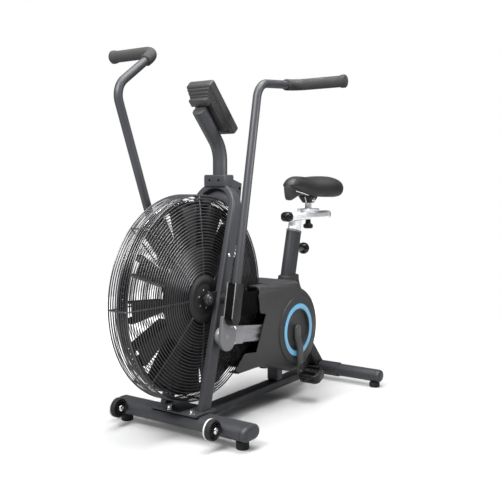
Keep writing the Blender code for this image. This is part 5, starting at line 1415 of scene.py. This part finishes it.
def makeRotor():
    wall = rotor["wall"]
    front = slab("bladeFront", bladeSheet(-1, 0.0, 1, 0.0), rotor["high"] - wall, rotor["high"], 0.0008, 2)
    walls = [slab("bladeWall", bladeSheet(side, 0.0, side, wall), rotor["low"], rotor["high"] - wall / 2,
                  0.0006, 2)
             for side in (-1, 1)]
    blade = merged("bladeSource", front, *walls)
    blades = repeatRound("rotor_blades", blade, rotor["blades"], fanCentre, "rotor", rotor["phase"])
    own(blades, "fan", "rotor", ("fan_rotor",))
    profile = [(rotor["bore"], rotor["hub"][0][1] - 0.002)] + list(rotor["hub"])
    profile += [(rotor["hub"][-1][0], rotor["sleeveEnd"]), (rotor["bore"], rotor["sleeveEnd"])]
    own(lathe("rotor_hub", profile, fanCentre, (1, 0, 0), 96, closed=True), "fan", "rotor")
    ring = washer("rotor_tip_ring", *rotor["tipRing"], fanCentre, (1, 0, 0), 0.0006, 156)
    own(ring, "fan", "rotor")
    band = washer("rotor_band", *rotor["band"], fanCentre, (1, 0, 0), 0.0006, 156)
    own(band, "fan", "gloss")
    fold = washer("rotor_band_edge", *rotor["bandEdge"], fanCentre, (1, 0, 0), 0.0004, 156)
    own(fold, "fan", "chrome")
    rivet = domeHead(*rotor["rivet"])
    rivet.data.transform(Matrix.Translation((0.0, 0.0, rotor["band"][1])))
    rivets = repeatRound("rotor_rivets", rivet, rotor["rivets"], fanCentre, "chrome", radians(1.0))
    own(rivets, "fan", "chrome")
    half = rotor["axleHalf"]
    axle = lathe("axleSource", [(0.0, -half), (rotor["axle"], -half), (rotor["axle"], half), (0.0, half)],
                 fanCentre, (1, 0, 0), 32)
    nuts = []
    for sign in sides.values():
        nut = boltHead(rotor["nutRadius"], rotor["nutHeight"])
        place = fanCentre + Vector((sign * rotor["nutX"], 0.0, 0.0))
        nut.data.transform(Matrix.Translation(place) @ Matrix.Rotation(sign * pi / 2, 4, "Y"))
        nuts.append(nut)
    own(merged("fan_spindle", axle, *nuts), "frame", "wire", ("fan_axle",))


makeRotor()
print("fan and guard made")


# Levers, grips and rockers

lever = {"x": 0.143, "radius": 0.0148, "foot": 0.015, "length": 0.743, "reach": 0.240, "turn": radians(75.0),
         "bends": (0.065, 0.048), "tip": 0.352, "lean": {"left": radians(10.8), "right": radians(-20.3)},
         "gripStart": 0.066, "gripRadius": 0.0205, "capRadius": 0.0235, "capLength": 0.010,
         "channel": (0.1212, 0.158), "channelDepth": 0.046, "channelLow": -0.086, "channelHigh": 0.055,
         # lip: front and back of the thin grey strips on the channel's flange edges, which are painted
         # highlights
         "wall": 0.0035, "lip": (-0.0006, 0.0014),
         "neck": (0.1137, 0.1207), "neckHalf": 0.018, "lobe": (0.1137, 0.1277), "rockerLength": 0.127,
         "lobeCentre": (0.0095, -0.135), "lobeRadius": 0.041,
         "lobeTop": [(0.0505, -0.101), (0.030, -0.098), (0.012, -0.0945), (-0.004, -0.0885),
                     (-0.016, -0.0790),
                     (-0.024, -0.0690), (-0.0290, -0.0590), (-0.0315, -0.0600)],
         "shaft": [(0.0, 0.1598), (0.0115, 0.1598), (0.0125, 0.1592), (0.0125, 0.1583), (0.010, 0.1583),
                   (0.010, 0.1134), (0.018, 0.1134), (0.018, 0.0933), (0.010, 0.0933), (0.010, 0.069),
                   (0.0, 0.069)]}


def leverTurn(side):
    return Matrix.Translation(pivotCentre) @ Matrix.Rotation(-lever["lean"][side], 4, "X")


def makeLever(side):
    sign = sides[side]
    body = "lever_" + side
    turn = leverTurn(side)
    x = sign * lever["x"]
    foot = Vector((x, 0.0, lever["foot"]))
    corner = Vector((x, 0.0, lever["length"]))
    reach = Vector((0.0, sin(lever["turn"]), cos(lever["turn"]))) * lever["reach"]
    elbow = corner + reach
    tip = Vector((sign * (lever["tip"] - lever["capLength"]), elbow.y, elbow.z))
    path = [turn @ point for point in rounded([foot, corner, elbow, tip], lever["bends"], 22)]
    tube = sweep(f"lever_{side}_tube", path, circle(lever["radius"], 40), (sign, 0, 0))
    own(tube, body, "coat", (body,))

    start = elbow - reach.normalized() * lever["gripStart"]
    end = Vector((sign * lever["tip"], elbow.y, elbow.z))
    points = rounded([start, elbow, end], [lever["bends"][1]], 22)
    spread = [(points[i] - points[i - 1]).length for i in range(1, len(points))]
    dense = [points[0]]
    for index, length in enumerate(spread):
        parts = max(1, round(length / 0.0025))
        dense += [points[index].lerp(points[index + 1], step / parts) for step in range(1, parts + 1)]
    total = sum(spread)
    sizes = []
    done = 0.0
    for index, point in enumerate(dense):
        done += (point - dense[index - 1]).length if index else 0.0
        left = total - done
        size = lever["gripRadius"]
        if done < 0.003:
            size = 0.0175 + (lever["gripRadius"] - 0.0175) * sin(pi / 2 * done / 0.003)
        if left < 0.024:
            flare = lever["capRadius"] - lever["gripRadius"]
            size = lever["gripRadius"] + flare * sin(pi / 2 * min(1.0, (0.024 - left) / 0.012))
        if left < 0.006:
            size = lever["capRadius"] * sqrt(max(0.0, 1 - ((0.006 - left) / 0.0085) ** 2))
        sizes.append(size)
    grip = sweep(f"grip_{side}_foam", [turn @ point for point in dense], circle(1.0, 40), (sign, 0, 0), sizes)
    own(grip, body, "foam", ("grip_" + side,))

    half = lever["channelDepth"] / 2
    outline = [(half, lever["channelHigh"]), (-half, lever["channelHigh"])]
    outline += arc((0.0, lever["channelLow"] + half), half, pi, 2 * pi, 24)
    low, high = between(sign, *lever["channel"])
    channel = slab(f"lever_{side}_channel", outline, low, high, 0.0012, 2)
    wall = lever["wall"]
    hollow = softBox("channelHollow", (low + wall, -0.06, lever["channelLow"] + wall),
                     (high - wall, half - wall, 0.2), 0.001, 2)
    carve(channel, hollow)
    channel.data.transform(turn)
    # The channel takes the dark rotor finish, darker than the lever's powder coat: painted shade for the
    # shadow it sits in.
    own(channel, body, "rotor")
    # A black sheet inside the channel's open front: painted shade for its dark inside.
    shadeSheet = softBox(f"lever_{side}_lining", (low + wall, -half + 0.004, lever["channelLow"] + half),
                     (high - wall, -half + 0.0065, lever["channelHigh"] - 0.003), 0.0008, 2, turn)
    own(shadeSheet, body, "pitch")
    # Thin grey strips on the flanges' front edges: painted highlights where the edges catch the light.
    front, back = [lip - half for lip in lever["lip"]]
    glintStrips = [softBox("lipSource", (x, front, lever["channelLow"] + half * 0.9),
                    (x + wall, back, lever["channelHigh"]), 0.0004, 2, turn) for x in (low, high - wall)]
    own(merged(f"lever_{side}_lips", *glintStrips), body, "band")

    low, high = between(sign, *lever["neck"])
    half = lever["neckHalf"]
    outline = twoCircles((0.0, -lever["rockerLength"]), half, (0.0, 0.0), half, 24)
    own(slab(f"rocker_{side}_neck", outline, low, high, 0.001, 2, turn), body, "coat")
    low, high = between(sign, *lever["lobe"])
    outline = arc(lever["lobeCentre"], lever["lobeRadius"], pi, 2 * pi, 40) + lever["lobeTop"]
    lobe = slab(f"rocker_{side}_lobe", outline, low, high, 0.0022, 4, turn)
    own(lobe, body, "castDull", ("rocker_arm_" + side,))
    place = turn @ Vector((sign * lever["lobe"][1], 0.0, -lever["rockerLength"]))
    pin = lathe("pinSource", [(0.0, -0.0300), (0.008, -0.0300), (0.008, 0.0), (0.0, 0.0)], place,
                (sign, 0, 0), 32)
    head = domeHead(0.0085, 0.0030)
    head.data.transform(Matrix.Translation(place) @ Matrix.Rotation(sign * pi / 2, 4, "Y"))
    own(merged(f"rocker_{side}_pin", pin, head), body, "cast")

    shaft = lathe(f"pivot_{side}_shaft", lever["shaft"], pivotCentre, (sign, 0, 0), 40)
    own(shaft, "frame", "rotor", ("lever_shaft_" + side,))


makeLever("left")
makeLever("right")

# Connecting rods

rod = {"front": (0.0962, 0.1122), "bar": (0.0813, 0.0933), "half": 0.029, "eye": 0.030, "frontLength": 0.100,
       "offset": 0.03405, "bore": 0.050, "wall": 0.011, "block": (0.058, 0.118), "blockHalf": 0.0305,
       "blockFace": 0.1128,
       "lines": (-0.62, -0.2, 0.2, 0.62), "lineHalf": 0.0013, "boltAlong": 0.0625, "boltOff": 0.0255,
       "boltRadius": 0.0042, "flanges": ((-0.82, 0.0052), (0.0, 0.0035), (0.82, 0.0052))}


def makeRod(side):
    sign = sides[side]
    body = "rod_" + side
    lean = lever["lean"][side]
    pin = Vector((pivotCentre.y - lever["rockerLength"] * sin(lean),
                  pivotCentre.z - lever["rockerLength"] * cos(lean)))
    centre = Vector((crankCentre.y - sign * rod["offset"], crankCentre.z))
    along = (centre - pin).normalized()
    across = Vector((-along.y, along.x))

    def spot(far, off):
        return tuple(pin + along * far + across * off)

    def strip(name, start, end, middle, off, low, high, edge):
        corners = [spot(start, middle - off), spot(end, middle - off), spot(end, middle + off),
                   spot(start, middle + off)]
        return slab(name, corners, low, high, edge, 3)

    reach = (centre - pin).length - rod["bore"] - rod["wall"] / 2
    low, high = between(sign, *rod["bar"])
    half = rod["half"]
    start, end = rod["block"]
    thin = between(sign, rod["bar"][0], rod["bar"][1] - 0.0025)
    pieces = [strip("webSource", start, reach, 0.0, half, *thin, 0.001)]
    for share, thick in rod["flanges"]:
        pieces.append(strip("flangeSource", start, reach, share * half, thick, low, high, 0.0014))
    strap = slab("strapSource", arc(centre, rod["bore"] + rod["wall"], 0.0, 2 * pi * 71 / 72, 71), low, high,
                 0.001, 2)
    bore = slab("boreSource", arc(centre, rod["bore"], 0.0, 2 * pi * 71 / 72, 71), low - 0.01, high + 0.01)
    pieces.append(carve(strap, bore))
    own(merged(f"rod_{side}_bar", *pieces), body, "cast", ("connecting_rod_" + side,))
    low, high = between(sign, *rod["front"])
    outline = twoCircles(pin, rod["eye"], Vector(spot(rod["frontLength"], 0.0)), half, 32)
    own(slab(f"rod_{side}_eye", outline, low, high, 0.0025, 4), body, "cast")
    face = rod["blockFace"]
    low, high = between(sign, rod["bar"][0], face)
    pieces = [strip("blockSource", start, end, 0.0, rod["blockHalf"], low, high, 0.0025)]
    low, high = between(sign, face - 0.002, face + 0.0012)
    for share in rod["lines"]:
        pieces.append(strip("lineSource", start + 0.004, end - 0.004, share * half, rod["lineHalf"], low,
                            high, 0.0008))
    own(merged(f"rod_{side}_block", *pieces), body, "cast")
    offsets = (-rod["boltOff"], rod["boltOff"])
    spots = [((sign * face, *spot(rod["boltAlong"], off)), (sign, 0, 0)) for off in offsets]
    own(repeatAt(f"rod_{side}_bolts", boltHead(rod["boltRadius"], 0.004), spots, "chrome"), body, "chrome")


makeRod("left")
makeRod("right")
print("levers and rods made")


# Drive covers

cover = {"face": 0.104, "wall": 0.0025, "edge": 0.026, "edgeSteps": 8, "radius": 0.166,
         "topFront": (-0.027, 0.474),
         "topBack": (0.245, 0.466), "arc": (radians(75.0), radians(-100.0)), "belly": (0.009, 0.176),
         "chin": (-0.150, 0.176),
         "front": [(-0.180, 0.197), (-0.124, 0.245), (-0.051, 0.238), (0.011, 0.369), (-0.026, 0.377),
                   (-0.038, 0.439)],
         "bellyDraw": 0.35, "room": -0.214, "toGuard": 0.359, "cap": 0.083,
         "seam": [(0.1036, 0.0300, 0.424), (0.1036, 0.0305, 0.446), (0.1000, 0.0330, 0.460),
                  (0.0915, 0.0410, 0.4690),
                  (0.0800, 0.0520, 0.4713), (0.0600, 0.0610, 0.4713), (0.0400, 0.0680, 0.4713),
                  (0.0, 0.0700, 0.4713)],
         "seamRadius": 0.0011, "hole": (0.079, 0.424), "holeRadius": 0.0038,
         "disc": [(0.131, 0.1043), (0.0815, 0.1043), (0.0815, 0.0948), (0.0115, 0.0948), (0.0115, 0.0973),
                  (0.076, 0.0973),
                  (0.0785, 0.0985), (0.079, 0.1010), (0.079, 0.1072), (0.0800, 0.1082), (0.1250, 0.1083),
                  (0.1290, 0.1074),
                  (0.1305, 0.1060)],
         "blue": (0.0834, 0.1024), "navy": ((0.0804, 0.0832), (0.1026, 0.1038))}


def coverOutline(wall, drawn=0.0, frontY=None):
    inset = wall + drawn
    under = wall + drawn * cover["bellyDraw"]
    chinY, chinZ = cover["chin"]
    startY, startZ = cover["topFront"]
    outline = [(startY, startZ - inset), (cover["topBack"][0], cover["topBack"][1] - inset)]
    outline += arc(crankCentre[1:], cover["radius"] - inset, *cover["arc"], 56)
    outline += [(cover["belly"][0], cover["belly"][1] + under), (chinY, chinZ + under)]
    if frontY is None:
        return outline + cover["front"]
    return outline + [(frontY, chinZ + under), (frontY, startZ - inset)]


def coverShape(name, sign, low, high, inset, edge, frontY=None):
    levels = [(low, 0.0)]
    for step in range(cover["edgeSteps"] + 1):
        turn = pi / 2 * step / cover["edgeSteps"]
        levels.append((high - edge + edge * sin(turn), edge * (1 - cos(turn))))
    rings = [[(sign * x, y, z) for y, z in coverOutline(inset, drawn, frontY)] for x, drawn in levels]
    return loft(name, rings)


def drum(name, radius, low, high, centre, steps=128):
    return lathe(name, [(0.0, low), (radius, low), (radius, high), (0.0, high)], centre, (1, 0, 0), steps)


def makeCover(side):
    sign = sides[side]
    shell = coverShape(f"cover_{side}_shell", sign, 0.00015, cover["face"], 0.0, cover["edge"])
    carve(shell, coverShape("coverRoom", sign, -0.02, cover["face"] - cover["wall"], cover["wall"],
                            cover["edge"] - cover["wall"], cover["room"]))
    low, high = between(sign, 0.05, 0.2)
    carve(shell, drum("capRoom", cover["cap"], low, high, crankCentre, 96))
    carve(shell, drum("fanRoom", cover["toGuard"], -0.050, 0.050, fanCentre, 160))
    carve(shell, loft("tubeRoom", [seatRing(along, 0.0015) for along in (-0.05, 0.6)]))
    y, z = stay["foot"]
    heading = Vector((0.0, -cos(stay["lean"]), sin(stay["lean"])))
    start = Vector((0.0, y, z))
    carve(shell, sweep("stayRoom", [start, start + heading * stay["length"]],
                       roundedRect(0.0265, 0.0265, 0.007), (0, 0, 1)))
    carve(shell, softBox("postRoom", (-0.0265, 0.207, 0.0), (0.0265, 0.249, crankCentre.z), 0.004))
    own(shell, "frame", "cover", ("drive_cover_" + side,))

    cap = lathe(f"cap_{side}_disc", cover["disc"], crankCentre, (sign, 0, 0), 128, closed=True)
    own(cap, "frame", "cover", ("crank_cap_" + side,))
    ring = washer(f"ring_{side}_blue", *cover["blue"], 0.1086, 0.1106, crankCentre, (sign, 0, 0), 0.0005, 128)
    own(ring, "frame", "blue", ("trim_ring_" + side,))
    # Thin navy rims at both edges of the blue ring: painted shade for the grooves there.
    for index, (inner, outer) in enumerate(cover["navy"]):
        rim = washer(f"ring_{side}_rim_{index + 1}", inner, outer, 0.1086, 0.1103, crankCentre, (sign, 0, 0),
                     0.0004, 128)
        own(rim, "frame", "navy")
    seam = [Vector((sign * x, y, z)) for x, y, z in cover["seam"]]
    own(sweep(f"cover_{side}_seam", seam, circle(cover["seamRadius"], 8), (0, 1, 0)), "frame", "black")
    y, z = cover["hole"]
    radius = cover["holeRadius"]
    plug = lathe(f"cover_{side}_plug", [(0.0, 0.1), (radius, 0.1), (radius, 0.1043), (radius * 0.7, 0.1044),
                                        (0.0, 0.1044)],
                 (0.0, y, z), (sign, 0, 0), 24)
    own(plug, "frame", "black")


makeCover("left")
makeCover("right")
print("covers made")


# Crank arms and pedals

crank = {"inner": 0.1121, "bossX": 0.0988, "thick": 0.012, "length": 0.170, "boss": 0.020, "end": 0.014,
         "bend": (0.022, 0.074), "corner": 0.0042, "spindle": 0.0065, "collar": 0.0125,
         "pedal": {"x": 0.1306, "width": 0.084, "length": 0.068, "thick": 0.036, "tilt": radians(25.0),
                   "near": 0.008, "far": 0.022,
                   "edge": 0.0045, "pocket": (0.0085, 0.0265), "pocketEnds": (0.012, 0.016), "depth": 0.011,
                   "groove": (0.0045, 0.0022)}}


def crankRing(sign, reach, half, shrink=0.0):
    low, high = crank["bend"]
    share = min(max((reach - low) / (high - low), 0.0), 1.0)
    share = share * share * (3 - 2 * share)
    middle = crank["bossX"] + (crank["inner"] - crank["bossX"]) * share + crank["thick"] / 2
    corner = min(crank["corner"], half * 0.5)
    section = roundedRect(crank["thick"] / 2 - shrink, half, corner, 6)
    return [(sign * (middle + u), crankCentre.y + v, crankCentre.z - sign * reach) for u, v in section]


def makeCrank(side):
    sign = sides[side]
    endZ = crankCentre.z - sign * crank["length"]
    boss = crank["boss"]
    end = crank["end"]
    turns = [pi / 2 * step / 10 for step in range(1, 11)]
    steps = [(-boss * cos(turn), boss * sin(turn), 0.0025 * (1 - sin(turn)) ** 2) for turn in turns]
    for step in range(1, 24):
        reach = crank["length"] * step / 24
        steps.append((reach, boss + (end - boss) * reach / crank["length"], 0.0))
    steps += [(crank["length"] + end * sin(turn), end * cos(turn), 0.0025 * (1 - cos(turn)) ** 2)
              for turn in [0.0] + turns[:-1] + [pi / 2 * 0.975]]
    arm = loft(f"crank_{side}_arm", [crankRing(sign, *step) for step in steps])
    own(arm, "crank", "arm", ("crank_arm_" + side,))
    face = crank["inner"] + crank["thick"]
    pedal = crank["pedal"]
    reach = pedal["x"] + pedal["width"] * 0.8
    thick = crank["spindle"]
    profile = [(0.0, face - 0.004), (crank["collar"], face - 0.004), (crank["collar"], face + 0.004),
               (thick, face + 0.0046), (thick, reach), (0.0, reach)]
    spindle = lathe(f"crank_{side}_spindle", profile, (0.0, crankCentre.y, endZ), (sign, 0, 0), 32)
    own(spindle, "crank", "chrome")

    turn = Matrix.Translation((0.0, crankCentre.y, endZ)) @ Matrix.Rotation(pedal["tilt"], 4, "X")
    lay = Matrix.Rotation(pi / 2, 4, "Y")
    half = pedal["length"] / 2
    high = pedal["thick"] / 2
    near = pedal["x"]
    far = near + pedal["width"]
    outline = []
    for y, x, radius, start in ((half, near, pedal["near"], -0.5), (half, far, pedal["far"], 0.0),
                                (-half, far, pedal["far"], 0.5), (-half, near, pedal["near"], 1.0)):
        middle = (y - radius if y > 0 else y + radius, x + radius if x == near else x - radius)
        outline += arc(middle, radius, pi * start, pi * (start + 0.5), 10)
    block = slab(f"pedal_{side}_block", [(y, sign * x) for y, x in outline], -high, high, pedal["edge"], 5,
                 lay)
    inner, outer = pedal["pocket"]
    low, top = between(sign, near + pedal["pocketEnds"][0], far - pedal["pocketEnds"][1])
    for up in (1, -1):
        for across in (1, -1):
            front, back = between(across, inner, outer)
            floor, roof = between(up, high - pedal["depth"], high + 0.02)
            carve(block, softBox("pocketSource", (low, front, floor), (top, back, roof), 0.003, 3))
            deep, wide = pedal["groove"]
            front, back = between(across, half - deep, half + 0.02)
            carve(block, softBox("grooveSource", (low, front, -wide), (top, back, wide), 0.001, 2))
    block.data.transform(turn)
    own(block, "pedal_" + side, "gloss", ("pedal_" + side,), 28.0)


makeCrank("left")
makeCrank("right")


# Pieces inside that keep their solids

inside = {"crank_axle": "zinc", "drive_pulley": "cast", "drive_belt": "rubber", "fan_pulley": "zinc",
          "seat_post": "bright", "belt_guard": "black"}


def dressNodes():
    for node, finish in inside.items():
        obj = frame["nodes"][node]
        if obj.material_slots:
            obj.material_slots[0].material = finishes[finish]
        else:
            obj.data.materials.append(finishes[finish])


dressNodes()
print("crank, pedals and inner pieces done")
